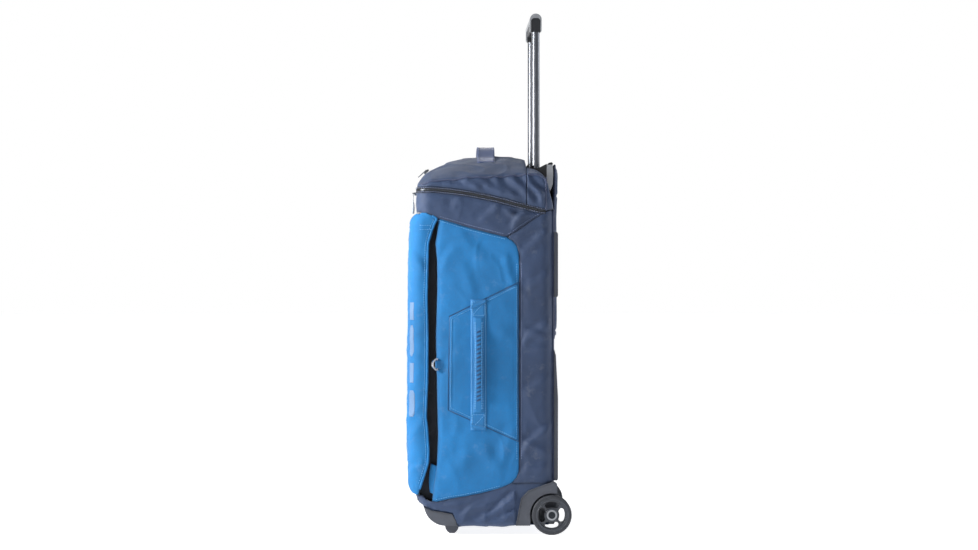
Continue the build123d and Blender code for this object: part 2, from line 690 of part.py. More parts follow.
# Rings: a webbing tab looped round each ring's bar, and the ring leaning out over the gap
with BuildPart() as ring_tabs:
    for side, sign in SIDES:
        add(box(span(sign, HALF_WIDTH, HALF_WIDTH + 1.1), (RING_Y, RING_Y + 22), (RING_Z - 8.5, RING_Z + 8.5)))
        with BuildSketch(Plane.XY.offset(RING_Z - 8.5)):
            with Locations((sign * RING_X, RING_Y)):
                Circle(3.4)
        extrude(amount=17)
    for side, sign in SIDES:
        with BuildSketch(Plane.XY.offset(RING_Z - 20)):
            with Locations((sign * RING_X, RING_Y)):
                Circle(2.6)
        extrude(amount=40, mode=Mode.SUBTRACT)
save(ring_tabs.part, "ring_tabs")

for side, sign in SIDES:
    lean = radians(RING_LEAN)
    ring_plane = Plane(
        origin=(sign * RING_X, RING_Y, RING_Z),
        x_dir=(sign * sin(lean), -cos(lean), 0),
        z_dir=(cos(lean), sign * sin(lean), 0),
    )
    with BuildPart() as ring:
        with BuildSketch(ring_plane):
            with BuildLine():
                back = -RING_WIRE / 2
                Line((back, -RING_HALF_TALL), (back, RING_HALF_TALL))
                ThreePointArc((back, RING_HALF_TALL), (RING_REACH, 0), (back, -RING_HALF_TALL))
            make_face()
            offset(amount=-RING_WIRE, mode=Mode.SUBTRACT)
        extrude(amount=RING_WIRE / 2, both=True)
    save(ring.part, f"d_ring_{side}")

# Zips: the main zip's two halves, one on the bag and one on the lid
for name, outer, inner, foot in (
    ("bag", TAPE_OUT, ZIP_X, ZIP_FOOT), ("lid", ZIP_X - 0.3, SEAM_X, TAPE_FOOT),
):
    with BuildPart() as zip_half:
        with BuildSketch(Plane.XZ.offset(-ZIP_Y)):
            with Locations((0, (foot + ZIP_TOP) / 2)):
                Rectangle(2 * outer, ZIP_TOP - foot)
            with Locations((0, (foot + outer - inner - 2 + TALL) / 2)):
                Rectangle(2 * inner, TALL - foot - (outer - inner - 2), mode=Mode.SUBTRACT)
        extrude(amount=-TAPE)
    save(zip_half.part, f"main_zip_{name}_half")

# Zips: the main zip's two sliders with their pulls, low on the right leg
for name, z, way in (("lower", SLIDER_Z[0], -1), ("upper", SLIDER_Z[1], 1)):
    with BuildPart() as slider:
        add(box((ZIP_X + 0.4, ZIP_X + 9), (ZIP_Y - 5.3, ZIP_Y - 0.3), (z - 7, z + 7)))
        fillet(slider.edges().filter_by(Axis.Y), 3)
        pull_ends = sorted((z - way * 4, z + way * 26))
        add(box((ZIP_X + 3, ZIP_X + 7), (ZIP_Y - 8.5, ZIP_Y - 5.3), pull_ends))
    save(slider.part, f"main_slider_{name}")

# Zips: the top zip's fixed half, and its two sliders with hanging pulls
with BuildPart() as top_zip:
    add(box((-150, 150), (OPENING - 2, OPENING), (726, 730.4)))
save(top_zip.part, "top_zip")

for side, sign in SIDES:
    x = sign * TOP_SLIDER_X
    with BuildPart() as top_slider:
        add(box((x - 5.5, x + 5.5), (OPENING - 7, OPENING - 2.3), (724.5, 730.8)))
        fillet(top_slider.edges().filter_by(Axis.Y), 2)
        for start in (x - 5.5, x + 4):
            add(box((start, start + 1.5), (PULL_PIN[0] - 1.3, OPENING - 7), (PULL_PIN[1] - 1.3, PULL_PIN[1] + 1.3)))
        with BuildSketch(Plane.YZ.offset(x - 5)):
            with Locations(PULL_PIN):
                Circle(1)
        extrude(amount=10)
    save(top_slider.part, f"top_slider_{side}")

    with BuildPart() as top_pull:
        with BuildSketch(Plane.YZ.offset(x - 3.5)):
            with Locations(PULL_PIN):
                Circle(2.3)
        extrude(amount=7)
        add(box((x - 3.2, x + 3.2), (PULL_PIN[0] - 0.9, PULL_PIN[0] + 0.9), (704, PULL_PIN[1] - 1.5)))
        add(box((x - 1.6, x + 1.6), (PULL_PIN[0] - 5, PULL_PIN[0] + 5), (711, PULL_PIN[1] - 4)), mode=Mode.SUBTRACT)
        add(box((x - 3.5, x + 3.5), (PULL_PIN[0] - 3.2, PULL_PIN[0] + 3.2), (684, 709)))
        with BuildSketch(Plane.YZ.offset(x - 10)):
            with Locations(PULL_PIN):
                Circle(1.25)
        extrude(amount=20, mode=Mode.SUBTRACT)
    save(top_pull.part, f"top_pull_{side}")

# Zips: the roof pocket's slider, lying on the roof's front curve
roof_normal = Vector(0, *ROOF_NORMAL)
roof_plane = Plane(origin=(ROOF_SLIDER_X, *ROOF_POINT), x_dir=(1, 0, 0), z_dir=roof_normal)
with BuildPart() as roof_slider:
    with BuildSketch(roof_plane.offset(0.4)):
        RectangleRounded(9, 13, 3)
    extrude(amount=4)
    with BuildSketch(roof_plane.offset(4.4)):
        with Locations((0, -9)):
            RectangleRounded(4, 24, 1.5)
    extrude(amount=1.8)
save(roof_slider.part, "roof_slider")
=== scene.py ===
"""Looks of a rolling duffel bag: sewn panels, webbing, zips, pull-out handle, wheels and its stage."""

import json
from math import cos, pi, radians, sin

import bpy
import numpy as np
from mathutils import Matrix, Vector
from mathutils.bvhtree import BVHTree


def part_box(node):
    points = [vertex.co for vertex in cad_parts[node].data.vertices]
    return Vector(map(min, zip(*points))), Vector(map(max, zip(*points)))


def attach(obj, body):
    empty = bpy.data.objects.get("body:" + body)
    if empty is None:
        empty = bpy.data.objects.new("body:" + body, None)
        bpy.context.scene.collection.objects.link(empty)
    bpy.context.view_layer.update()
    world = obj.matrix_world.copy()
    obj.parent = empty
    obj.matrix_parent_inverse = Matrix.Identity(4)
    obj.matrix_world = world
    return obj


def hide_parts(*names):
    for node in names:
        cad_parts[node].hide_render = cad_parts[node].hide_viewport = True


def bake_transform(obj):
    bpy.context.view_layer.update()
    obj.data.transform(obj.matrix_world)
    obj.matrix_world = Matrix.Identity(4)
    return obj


bl_info = {
    "name": "Rolling duffel bag looks",
    "version": (1, 0, 0),
    "blender": (4, 5, 0),
    "location": "View3D > Sidebar > Duffel",
    "description": "Builds the fabric, trim and materials of a rolling duffel bag on its frame",
    "category": "Object",
}

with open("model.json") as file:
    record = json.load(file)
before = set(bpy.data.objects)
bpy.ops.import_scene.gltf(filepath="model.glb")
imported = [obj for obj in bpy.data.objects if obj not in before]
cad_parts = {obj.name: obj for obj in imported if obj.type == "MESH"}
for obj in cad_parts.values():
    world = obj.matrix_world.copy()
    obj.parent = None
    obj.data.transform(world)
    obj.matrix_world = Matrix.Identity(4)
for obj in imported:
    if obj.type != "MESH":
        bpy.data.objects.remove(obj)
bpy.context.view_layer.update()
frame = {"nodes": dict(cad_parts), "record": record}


def edges_of(node):
    """Low and high corner of a frame node in millimetres."""
    low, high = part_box(node)
    return np.array(low) * 1000, np.array(high) * 1000


# Places read from the frame, in millimetres
HALF = edges_of("side_panel_right")[1][0]
FRONT = edges_of("top_band")[0][1]
BACK = edges_of("rear_shell")[1][1]
BOTTOM = edges_of("base_tub")[0][2]
LID_CUT = edges_of("top_lid")[1][1]
CHEEK_START = edges_of("rear_cheeks")[0][1]
HINGE_Z = edges_of("main_lid")[1][2] + 0.6
BAY_HALF = edges_of("grip_bay")[1][0]
PLAN_RADIUS = 30.0

# Seams as seen from the side, (Y, Z) in millimetres
BODY_FRONT = [(BOTTOM, -92), (22.6, -113), (32, -126), (42.7, -132), (57.6, -138), (66.4, -146), (81, -155),
              (110, FRONT), (800, FRONT)]
PANEL_TOP = [(-113, 671.5), (-84, 663), (-44, 650.5), (5, 638), (37, 630), (49, 622.5), (58, 612),
             (62, 598), (63, 583)]
PANEL_FOOT = [(-156, 82), (-141, 77), (-130, 72), (-114, 70), (-95, 74), (-81.5, 77), (-54, 81),
              (-27.5, 86), (0, 93), (26, 100), (45.5, 109), (57, 120), (62, 133), (63, 148)]
PANEL_REAR = 63.0
GAP_EDGE = [(70, -121), (86, -119.5), (111, -117.5), (124, -115), (151, -111), (205, -108.5), (300, -110.5),
            (420, -113), (520, -110), (580, -110.5), (600, -112.5), (618, -114), (641, -110), (672, -107)]
FLAP_EDGE = [(85, -150.5), (103, -145), (124, -138), (154, -129), (178, -128), (232, -131.5), (248, -134),
             (321, -131), (419, -130), (500, -132), (544, -131), (618, -129), (641.6, -122), (654, -117.5),
             (664, -113), (670, -108.5), (675, -120), (680, -131)]
LID_PROFILE = [(-150, 85), (-157, 85.5), (-164, 91), (-169.3, 101.6), (-171.2, 113), (-170.3, 127),
               (-171.5, 160), (-172.6, 210), (-172.8, 250), (-171.5, 400), (-170.3, 540), (-168.5, 630),
               (-167, 658), (-163, 671), (-154, 680), (-142, 681.3), (-131, 681)]
ZIP_LINE = [(-153, 730.5), (-117, 730.5), (-80, 727), (-44, 722), (5, 712.5), (53.5, 700), (102, 688),
            (119, 684.6)]
SHOULDER = [(37, 630), (60, 645), (90, 666), (119, 684.6)]
ROOF_PROFILE = [(-153, 735), (-149, 748), (-137, 765), (-124, 776), (-107, 785), (-80, 795), (-50, 802),
                (-18, 806.5), (30, 806.5), (76, 801), (98, 789.5), (112, 775), (120, 757), (125, 735),
                (132, 712), (137, 690)]
ZIP_WIDTH = 10.0
REAR_FOOT = 109.3
BAND_FRONT = 681.0

# Sewing thread, in millimetres: the gap between stitches, and their radius and height off the cloth
STITCH_GAP = 1.6
STITCH_RADIUS = 0.55
STITCH_LIFT = 0.35

HOUSING_TOP = [(56.5, 19.5), (67.7, 77), (82.3, 93), (124, 108), (135, 112), (143.5, 107)]
GUARD_TOP = [(-150, 64), (-138, 57.6), (-120, 50.5), (-98, 47.5), (-79, 43.5), (-72, 31), (-69, 19)]


class FabricColours(bpy.types.PropertyGroup):
    """Colours of the sewn parts."""

    panel: bpy.props.StringProperty(name="Panel", description="Main polyester colour", default="#0F69A4")
    shell: bpy.props.StringProperty(name="Shell", description="Base, rear and top polyester",
                                    default="#273A5A")
    webbing: bpy.props.StringProperty(name="Webbing", description="Top handle webbing", default="#36456C")
    lining: bpy.props.StringProperty(name="Lining", description="Inner lining cloth", default="#7A8088")
    zip_tape: bpy.props.StringProperty(name="Zip tape", description="Woven zip tape", default="#20242C")
    print: bpy.props.StringProperty(name="Print", description="Screen-printed bars", default="#5C7CA2")


class HardColours(bpy.types.PropertyGroup):
    """Colours of the moulded and metal parts."""

    guard: bpy.props.StringProperty(name="Guards", description="Corner guards and skids", default="#474B55")
    black: bpy.props.StringProperty(name="Black", description="Housings, bay and feet", default="#191B20")
    tyre: bpy.props.StringProperty(name="Tyre", description="Wheel tread", default="#30333A")
    hub: bpy.props.StringProperty(name="Wheel", description="Wheel centre", default="#3C4048")
    pull: bpy.props.StringProperty(name="Pulls", description="Moulded zip pulls", default="#A9AEB6")
    metal: bpy.props.StringProperty(name="Metal", description="Anodised tubes", default="#6A6D73")


class BagSizes(bpy.types.PropertyGroup):
    """Sizes of the sewing and padding."""

    puff: bpy.props.FloatProperty(
        name="Panel puff", description="How far a padded panel stands out", default=0.0045, unit="LENGTH")
    cloth: bpy.props.FloatProperty(
        name="Cloth", description="Thickness of a padded panel's edge", default=0.0024, unit="LENGTH")
    stitch: bpy.props.FloatProperty(name="Stitch", description="Length of one stitch", default=0.0036,
                                    unit="LENGTH")
    thread: bpy.props.FloatProperty(
        name="Thread", description="Spacing of the polyester's threads", default=0.0008, unit="LENGTH")
    eye_height: bpy.props.FloatProperty(
        name="Eye height", description="Height of the camera", default=0.55, unit="LENGTH")
    distance: bpy.props.FloatProperty(
        name="Distance", description="From the camera to the bag's middle", default=5.34, unit="LENGTH")


# ---------------------------------------------------------------- materials


def linear(code):
    """An sRGB hex value as linear RGBA."""
    parts = [int(code[i:i + 2], 16) / 255 for i in (1, 3, 5)]
    return [p / 12.92 if p <= 0.04045 else ((p + 0.055) / 1.055) ** 2.4 for p in parts] + [1.0]


def tone(code, share):
    """A colour made lighter (share above 1) or darker."""
    return [min(1.0, c * share) for c in linear(code)[:3]] + [1.0]


def add_node(tree, kind, settings=None, links=None):
    """One node with its settings, and its sockets set to a value or linked to another node's socket."""
    made = tree.nodes.new(kind)
    for key, value in (settings or {}).items():
        setattr(made, key, value)
    for key, value in (links or {}).items():
        if isinstance(value, bpy.types.NodeSocket):
            tree.links.new(value, made.inputs[key])
        else:
            made.inputs[key].default_value = value
    return made


def start_material(name):
    """An empty node material, with its tree, shader and the shader's output."""
    material = bpy.data.materials.new(name)
    material.use_nodes = True
    tree = material.node_tree
    tree.nodes.clear()
    shader = add_node(tree, "ShaderNodeBsdfPrincipled")
    add_node(tree, "ShaderNodeOutputMaterial", None, {"Surface": shader.outputs[0]})
    return material, tree, shader


def ramp(tree, source, stops):
    """A colour ramp on a socket, from (position, colour) stops."""
    node = add_node(tree, "ShaderNodeValToRGB", None, {"Fac": source})
    node.color_ramp.elements[0].position, node.color_ramp.elements[0].color = stops[0]
    node.color_ramp.elements[1].position, node.color_ramp.elements[1].color = stops[-1]
    for position, colour in stops[1:-1]:
        node.color_ramp.elements.new(position).color = colour
    return node.outputs["Color"]


def woven(name, colour, pitch, rough=0.82, sheen=0.1, dust=0.06):
    """Woven cloth: a plain weave from crossed threads, cloudy dye, painted shade along the sewn edges and
    light fluff.
    """
    material, tree, shader = start_material(name)
    place = add_node(tree, "ShaderNodeAttribute", {"attribute_name": "cloth"}).outputs["Vector"]
    edge = add_node(tree, "ShaderNodeAttribute", {"attribute_name": "seam_shade"}).outputs["Fac"]
    solid = add_node(tree, "ShaderNodeTexCoord").outputs["Object"]
    split = add_node(tree, "ShaderNodeSeparateXYZ", None, {"Vector": place})
    threads = []
    for axis in ("X", "Y"):
        turned = add_node(tree, "ShaderNodeMath", {"operation": "MULTIPLY"},
                          {0: split.outputs[axis], 1: 2 * pi / pitch})
        threads.append(add_node(tree, "ShaderNodeMath", {"operation": "SINE"},
                                {0: turned.outputs[0]}).outputs[0])
    weave = add_node(tree, "ShaderNodeMath", {"operation": "MULTIPLY"},
                     {0: threads[0], 1: threads[1]}).outputs[0]
    cloud = add_node(tree, "ShaderNodeTexNoise", None,
                     {"Vector": solid, "Scale": 9.0, "Detail": 5.0}).outputs["Fac"]
    slub = add_node(tree, "ShaderNodeTexNoise", None,
                    {"Vector": solid, "Scale": 220.0, "Detail": 3.0}).outputs["Fac"]
    mixed = add_node(tree, "ShaderNodeMath", {"operation": "MULTIPLY_ADD"},
                     {0: weave, 1: 0.10, 2: cloud}).outputs[0]
    mixed = add_node(tree, "ShaderNodeMath", {"operation": "MULTIPLY_ADD"},
                     {0: slub, 1: 0.35, 2: mixed}).outputs[0]
    dyed = ramp(tree, mixed, [(0.35, tone(colour, 0.78)), (0.66, linear(colour)), (1.0, tone(colour, 1.28))])
    # The cloth darkens towards its sewn edges: painted shade for the groove along each seam.
    seam_shaded = add_node(
        tree, "ShaderNodeMix", {"data_type": "RGBA"}, {"Factor": edge, "A": dyed, "B": tone(colour, 0.5)}
    ).outputs["Result"]
    dusty = add_node(
        tree, "ShaderNodeTexNoise", None, {"Vector": solid, "Scale": 38.0, "Detail": 6.0, "Roughness": 0.7}
    ).outputs["Fac"]
    fluff = ramp(tree, dusty, [(0.58, (0, 0, 0, 1)), (0.8, (dust, dust, dust, 1))])
    top = add_node(
        tree, "ShaderNodeMix", {"data_type": "RGBA"}, {"Factor": fluff, "A": seam_shaded, "B": (0.75, 0.77, 0.8, 1)}
    ).outputs["Result"]
    tree.links.new(top, shader.inputs["Base Color"])
    gloss = add_node(
        tree, "ShaderNodeMapRange", None, {"Value": slub, "To Min": rough - 0.12, "To Max": rough + 0.1}
    ).outputs[0]
    tree.links.new(gloss, shader.inputs["Roughness"])
    shader.inputs["Sheen Weight"].default_value = sheen
    shader.inputs["Sheen Roughness"].default_value = 0.45
    height = add_node(tree, "ShaderNodeMath", {"operation": "MULTIPLY_ADD"},
                      {0: weave, 1: 0.5, 2: slub}).outputs[0]
    bump = add_node(
        tree, "ShaderNodeBump", None, {"Height": height, "Strength": 0.35, "Distance": 0.0006}
    ).outputs["Normal"]
    tree.links.new(bump, shader.inputs["Normal"])
    return material


def moulded(name, colour, rough=0.5, grain_mm=0.9, scuff=0.12):
    """Moulded plastic or rubber: a fine spark grain, cloudy gloss and pale scuffs."""
    material, tree, shader = start_material(name)
    solid = add_node(tree, "ShaderNodeTexCoord").outputs["Object"]
    grain = add_node(
        tree, "ShaderNodeTexVoronoi", None, {"Vector": solid, "Scale": 1000 / grain_mm}
    ).outputs["Distance"]
    cloud = add_node(tree, "ShaderNodeTexNoise", None,
                     {"Vector": solid, "Scale": 24.0, "Detail": 5.0}).outputs["Fac"]
    marks = add_node(
        tree, "ShaderNodeTexNoise", None, {"Vector": solid, "Scale": 90.0, "Detail": 8.0, "Roughness": 0.75}
    ).outputs["Fac"]
    body = ramp(tree, cloud, [(0.3, tone(colour, 0.82)), (0.7, tone(colour, 1.12))])
    scuffs = ramp(tree, marks, [(0.62, (0, 0, 0, 1)), (0.74, (scuff, scuff, scuff, 1))])
    top = add_node(
        tree, "ShaderNodeMix", {"data_type": "RGBA"},
        {"Factor": scuffs, "A": body, "B": (0.45, 0.46, 0.48, 1)}
    ).outputs["Result"]
    tree.links.new(top, shader.inputs["Base Color"])
    gloss = add_node(
        tree, "ShaderNodeMapRange", None, {"Value": marks, "To Min": rough - 0.12, "To Max": rough + 0.14}
    ).outputs[0]
    tree.links.new(gloss, shader.inputs["Roughness"])
    shader.inputs["IOR"].default_value = 1.5
    bump = add_node(
        tree, "ShaderNodeBump", None, {"Height": grain, "Strength": 0.3, "Distance": 0.00012}
    ).outputs["Normal"]
    tree.links.new(bump, shader.inputs["Normal"])
    return material


def metal(name, colour, rough, drawn_mm, way="Z"):
    """Drawn, brushed or plated metal: fine lines along the part and slight clouding of the gloss."""
    material, tree, shader = start_material(name)
    solid = add_node(tree, "ShaderNodeTexCoord").outputs["Object"]
    stretch = {"X": (4, 1000, 1000), "Y": (1000, 4, 1000), "Z": (1000, 1000, 4)}[way]
    lines = add_node(tree, "ShaderNodeMapping", None,
                     {"Vector": solid, "Scale": [s / drawn_mm for s in stretch]})
    drawn = add_node(
        tree, "ShaderNodeTexNoise", None, {"Vector": lines.outputs[0], "Scale": 1.0, "Detail": 2.0}
    ).outputs["Fac"]
    cloud = add_node(tree, "ShaderNodeTexNoise", None,
                     {"Vector": solid, "Scale": 30.0, "Detail": 4.0}).outputs["Fac"]
    both = add_node(tree, "ShaderNodeMath", {"operation": "MULTIPLY_ADD"},
                    {0: drawn, 1: 0.4, 2: cloud}).outputs[0]
    colours = ramp(tree, both, [(0.4, tone(colour, 0.8)), (0.95, tone(colour, 1.08))])
    tree.links.new(colours, shader.inputs["Base Color"])
    gloss = add_node(
        tree, "ShaderNodeMapRange", None, {"Value": both, "To Min": rough - 0.08, "To Max": rough + 0.12}
    ).outputs[0]
    tree.links.new(gloss, shader.inputs["Roughness"])
    shader.inputs["Metallic"].default_value = 1.0
    bump = add_node(
        tree, "ShaderNodeBump", None, {"Height": drawn, "Strength": 0.08, "Distance": 0.0002}
    ).outputs["Normal"]
    tree.links.new(bump, shader.inputs["Normal"])
    return material


def studio_paint(name):
    """Matt white floor paint with a faint glow and the softest mottling."""
    material, tree, shader = start_material(name)
    solid = add_node(tree, "ShaderNodeTexCoord").outputs["Object"]
    cloud = add_node(tree, "ShaderNodeTexNoise", None,
                     {"Vector": solid, "Scale": 0.8, "Detail": 2.0}).outputs["Fac"]
    mottled = ramp(tree, cloud, [(0.3, (0.5, 0.5, 0.5, 1)), (0.7, (0.54, 0.54, 0.54, 1))])
    tree.links.new(mottled, shader.inputs["Base Color"])
    shader.inputs["Roughness"].default_value = 0.9
    shader.inputs["Specular IOR Level"].default_value = 0.1
    # The glow fades toward the viewer's side of the bag, where it would flatten the light on the cloth.
    place = add_node(tree, "ShaderNodeSeparateXYZ", None, {"Vector": solid}).outputs["X"]
    near = add_node(tree, "ShaderNodeMapRange", None,
                    {"Value": place, "From Min": 0.5, "From Max": 3.5}).outputs[0]
    tree.links.new(ramp(tree, near, [(0.0, (0.86, 0.86, 0.86, 1)), (1.0, (0.6, 0.6, 0.6, 1))]),
                   shader.inputs["Emission Color"])
    shader.inputs["Emission Strength"].default_value = 1.0
    return material


MADE = {}


def make_materials(fabrics, hard, sizes):
    """Every material of the bag, by the name of the finish."""
    # The threads are 0.8 mm apart and would vanish, so the weave is drawn about three times as coarse.
    pitch = sizes.thread * 3.2
    MADE.update(
        # Uncoated 600-denier polyester: a dense matt weave with a soft bloom at grazing angles
        panel=woven("blue_polyester_weave", fabrics.panel, pitch),
        # The same cloth in navy, a little shinier from its backing
        shell=woven("navy_polyester_weave", fabrics.shell, pitch, rough=0.66, sheen=0.12),
        # Nylon webbing: ribs along the strap that catch the light
        navy_webbing=woven("navy_nylon_webbing", fabrics.webbing, 0.0034, rough=0.7, sheen=0.35),
        blue_webbing=woven("blue_nylon_webbing", fabrics.panel, 0.0034, rough=0.72, sheen=0.3),
        # Thin brushed lining cloth, pale so that the inside reads
        lining=woven("grey_lining_cloth", fabrics.lining, 0.003, rough=0.88, sheen=0.15),
        # Herringbone zip tape: near black and flat
        tape=woven("zip_tape_weave", fabrics.zip_tape, 0.002, rough=0.85, sheen=0.1),
        # Spun polyester thread, paler than the cloth that it sews
        thread_blue=woven("blue_sewing_thread", "#5FA6DC", 0.0016, rough=0.6, sheen=0.2, dust=0.0),
        thread_navy=woven("navy_sewing_thread", "#6F7EA6", 0.0016, rough=0.6, sheen=0.2, dust=0.0),
        # Screen-print ink: a thin opaque film that keeps some of the weave
        print=woven("screen_print_ink", fabrics.print, pitch, rough=0.6, sheen=0.0),
        # Dark blue for the grip's marks, and for the thin line of painted shade in the patch seam's groove
        seam_blue=woven("blue_marks_and_seam_shade", "#0B3B66", 0.0022, rough=0.7),
        # Bound edge tape, glossier than the cloth
        piping=woven("navy_piping", "#2A3656", 0.0022, rough=0.6, sheen=0.3),
        # Injection-moulded ABS guards: satin, with a spark-eroded grain
        guard=moulded("moulded_abs_grey", hard.guard, rough=0.48),
        # Black polypropylene: darker and softer in gloss
        black=moulded("moulded_polypropylene_black", hard.black, rough=0.42, scuff=0.05),
        # Polyurethane tread: matt with dusty scuffs
        tread=moulded("polyurethane_tread", hard.tyre, rough=0.62, grain_mm=1.4, scuff=0.25),
        # Glass-filled nylon wheel centre: light satin grey
        hub=moulded("glass_filled_nylon_hub", hard.hub, rough=0.4),
        # Thermoplastic elastomer pulls: soft matt
        pull=moulded("elastomer_pull", hard.pull, rough=0.55, grain_mm=0.7, scuff=0.04),
        # Silver-painted ABS dish: metallic flakes under a satin coat
        silver=metal("silver_painted_abs", "#B4B7BC", 0.36, 0.5, "X"),
        # Anodised aluminium tube: drawn lines and crisp bright bands
        aluminium=metal("anodised_aluminium", hard.metal, 0.28, 0.25),
        # Blackened steel axle ends: dark with a dull shine
        dark_steel=metal("blackened_steel", "#3A3D42", 0.42, 0.5, "X"),
        # Chrome-plated and zinc-plated steel
        ring=metal("nickel_plated_steel", "#C4C6CA", 0.16, 0.4),
        steel=metal("zinc_plated_steel", "#A3A6AB", 0.3, 0.4, "X"),
        slider=metal("zinc_diecast_slider", "#6F747C", 0.34, 0.5),
        # Polypropylene board: plain dark stiffener
        board=moulded("polypropylene_board", "#2A2C31", rough=0.55),
        # Painted studio floor: flat white that glows a little, so that it meets the air without a line
        floor=studio_paint("painted_studio_floor"),
    )


SLOT_FINISH = {
    "blue_fabric": "panel", "navy_fabric": "shell", "lining_fabric": "lining", "blue_webbing": "blue_webbing",
    "navy_webbing": "navy_webbing", "zip_tape": "tape", "dark_plastic": "guard", "black_plastic": "black",
    "silver_plastic": "silver", "aluminium": "aluminium", "button_plastic": "black", "steel": "steel",
    "ring_metal": "ring", "slider_metal": "slider", "pull_rubber": "pull", "board": "board",
    "wheel_tread": "tread", "wheel_core": "hub",
}


# ---------------------------------------------------------------- mesh tools


def along(points, wanted):
    """Value read off a list of (place, value) pairs at the wanted places."""
    table = np.array(points, float)
    order = np.argsort(table[:, 0], kind="stable")
    return np.interp(wanted, table[order, 0], table[order, 1])


def smooth(low, high, value):
    """0 below low, 1 above high, smooth between."""
    t = np.clip((value - low) / (high - low), 0, 1)
    return t * t * (3 - 2 * t)


def spread(points, count):
    """Points evenly spaced along a polyline."""
    line = np.array(points, float)
    run = np.concatenate([[0], np.cumsum(np.linalg.norm(np.diff(line, axis=0), axis=1))])
    t = np.linspace(0, 1, count)
    return np.stack([np.interp(t * run[-1], run, line[:, k]) for k in range(line.shape[1])], 1)


def rounded(points, count, passes=12):
    """Points evenly spaced along a polyline whose corners are softened."""
    line = spread(points, count)
    for _ in range(passes):
        line[1:-1] = (line[:-2] + 2 * line[1:-1] + line[2:]) / 4
    return line


def value_noise(u, v, size, seed):
    """Smooth noise from -1 to 1 over two coordinates, with features about size across."""
    rows = np.random.RandomState(seed).uniform(-1, 1, (64, 64))
    a, b = u / size, v / size
    i, j = np.floor(a).astype(int), np.floor(b).astype(int)
    s, t = a - i, b - j
    s, t = s * s * (3 - 2 * s), t * t * (3 - 2 * t)
    pick = lambda p, q: rows[p % 64, q % 64]
    low = pick(i, j) * (1 - s) + pick(i + 1, j) * s
    high = pick(i, j + 1) * (1 - s) + pick(i + 1, j + 1) * s
    return low * (1 - t) + high * t


def crumple(u, v, size, seed):
    """Sharp-backed wrinkles from 0 to 1: ridged noise over two coordinates."""
    bent_u = u + 0.6 * size * value_noise(u, v, size * 1.3, seed + 5)
    bent_v = v + 0.6 * size * value_noise(u, v, size * 1.3, seed + 9)
    return (1 - np.abs(value_noise(bent_u, bent_v, size, seed))) ** 3


def normals_of(grid):
    """Unit normals of a grid of points, from its rows and columns."""
    across = np.gradient(grid, axis=1)
    up = np.gradient(grid, axis=0)
    n = np.cross(across, up)
    return n / np.maximum(np.linalg.norm(n, axis=2, keepdims=True), 1e-9)


def grid_faces(rows, cols, start=0, flip=False, ring=False):
    """Quads of a grid of rows and columns; a ring joins its last column to its first."""
    faces = []
    for i in range(rows - 1):
        for j in range(cols if ring else cols - 1):
            k = (j + 1) % cols
            near, far = start + i * cols, start + (i + 1) * cols
            quad = (near + j, near + k, far + k, far + j)
            faces.append(quad[::-1] if flip else quad)
    return faces


def put_mesh(name, points, faces, material, cloth=None, seam_shade=None, shade=True):
    """A mesh object from points in millimetres, with its material and its cloth coordinates."""
    data = bpy.data.meshes.new(name)
    data.from_pydata([tuple(p) for p in np.asarray(points, float) * 0.001], [], faces)
    data.update()
    if shade:
        data.polygons.foreach_set("use_smooth", np.ones(len(data.polygons), bool))
    if cloth is None:
        p = np.asarray(points, float)
        cloth = np.stack([p[:, 0] + p[:, 1], p[:, 2] + 0.35 * p[:, 1], 0 * p[:, 0]], 1)
    layer = data.attributes.new("cloth", "FLOAT_VECTOR", "POINT")
    layer.data.foreach_set("vector", (np.asarray(cloth, float) * 0.001).astype(np.float32).ravel())
    layer = data.attributes.new("seam_shade", "FLOAT", "POINT")
    seam_shade = np.zeros(len(points)) if seam_shade is None else seam_shade
    layer.data.foreach_set("value", seam_shade.astype(np.float32))
    made = bpy.data.objects.new(name, data)
    bpy.context.scene.collection.objects.link(made)
    data.materials.append(MADE[material])
    return made


def finish_piece(piece, body, replaced=()):
    """Gives a piece its body and the frame nodes that it stands for."""
    if body:
        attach(piece, body)
    if replaced:
        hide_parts(*replaced)
    return piece


def cloth_sheet(name, grid, material, thick, seam_shade=None, outward=None):
    """A closed sheet of cloth from a grid of outer points: outer face, inner face and edge."""
    rows, cols = grid.shape[:2]
    n = normals_of(grid)
    if outward is not None:
        away = (grid - np.asarray(outward, float))
        if np.mean((n * away).sum(2)) < 0:
            n = -n
    turn = np.mean((np.cross(np.gradient(grid, axis=1), np.gradient(grid, axis=0)) * n).sum(2)) < 0
    u = np.concatenate([np.zeros((rows, 1)), np.cumsum(np.linalg.norm(np.diff(grid, axis=1), axis=2), 1)], 1)
    u = u - u[:, cols // 2][:, None]
    v = np.concatenate([np.zeros((1, cols)), np.cumsum(np.linalg.norm(np.diff(grid, axis=0), axis=2), 0)], 0)
    cloth = np.stack([u, v, 0 * u], 2).reshape(-1, 3)
    points = np.concatenate([grid.reshape(-1, 3), (grid - n * thick).reshape(-1, 3)])
    faces = grid_faces(rows, cols, 0, turn) + grid_faces(rows, cols, rows * cols, not turn)
    rim = ([j for j in range(cols)] + [i * cols + cols - 1 for i in range(1, rows)]
           + [(rows - 1) * cols + j for j in range(cols - 2, -1, -1)]
           + [i * cols for i in range(rows - 2, 0, -1)])
    inner = rows * cols
    for a, b in zip(rim, rim[1:] + rim[:1]):
        quad = (b, a, a + inner, b + inner)
        faces.append(quad[::-1] if turn else quad)
    seam_shade = np.zeros(inner) if seam_shade is None else seam_shade.reshape(-1)
    return put_mesh(name, points, faces, material, np.concatenate([cloth, cloth]),
                    np.concatenate([seam_shade, seam_shade]))


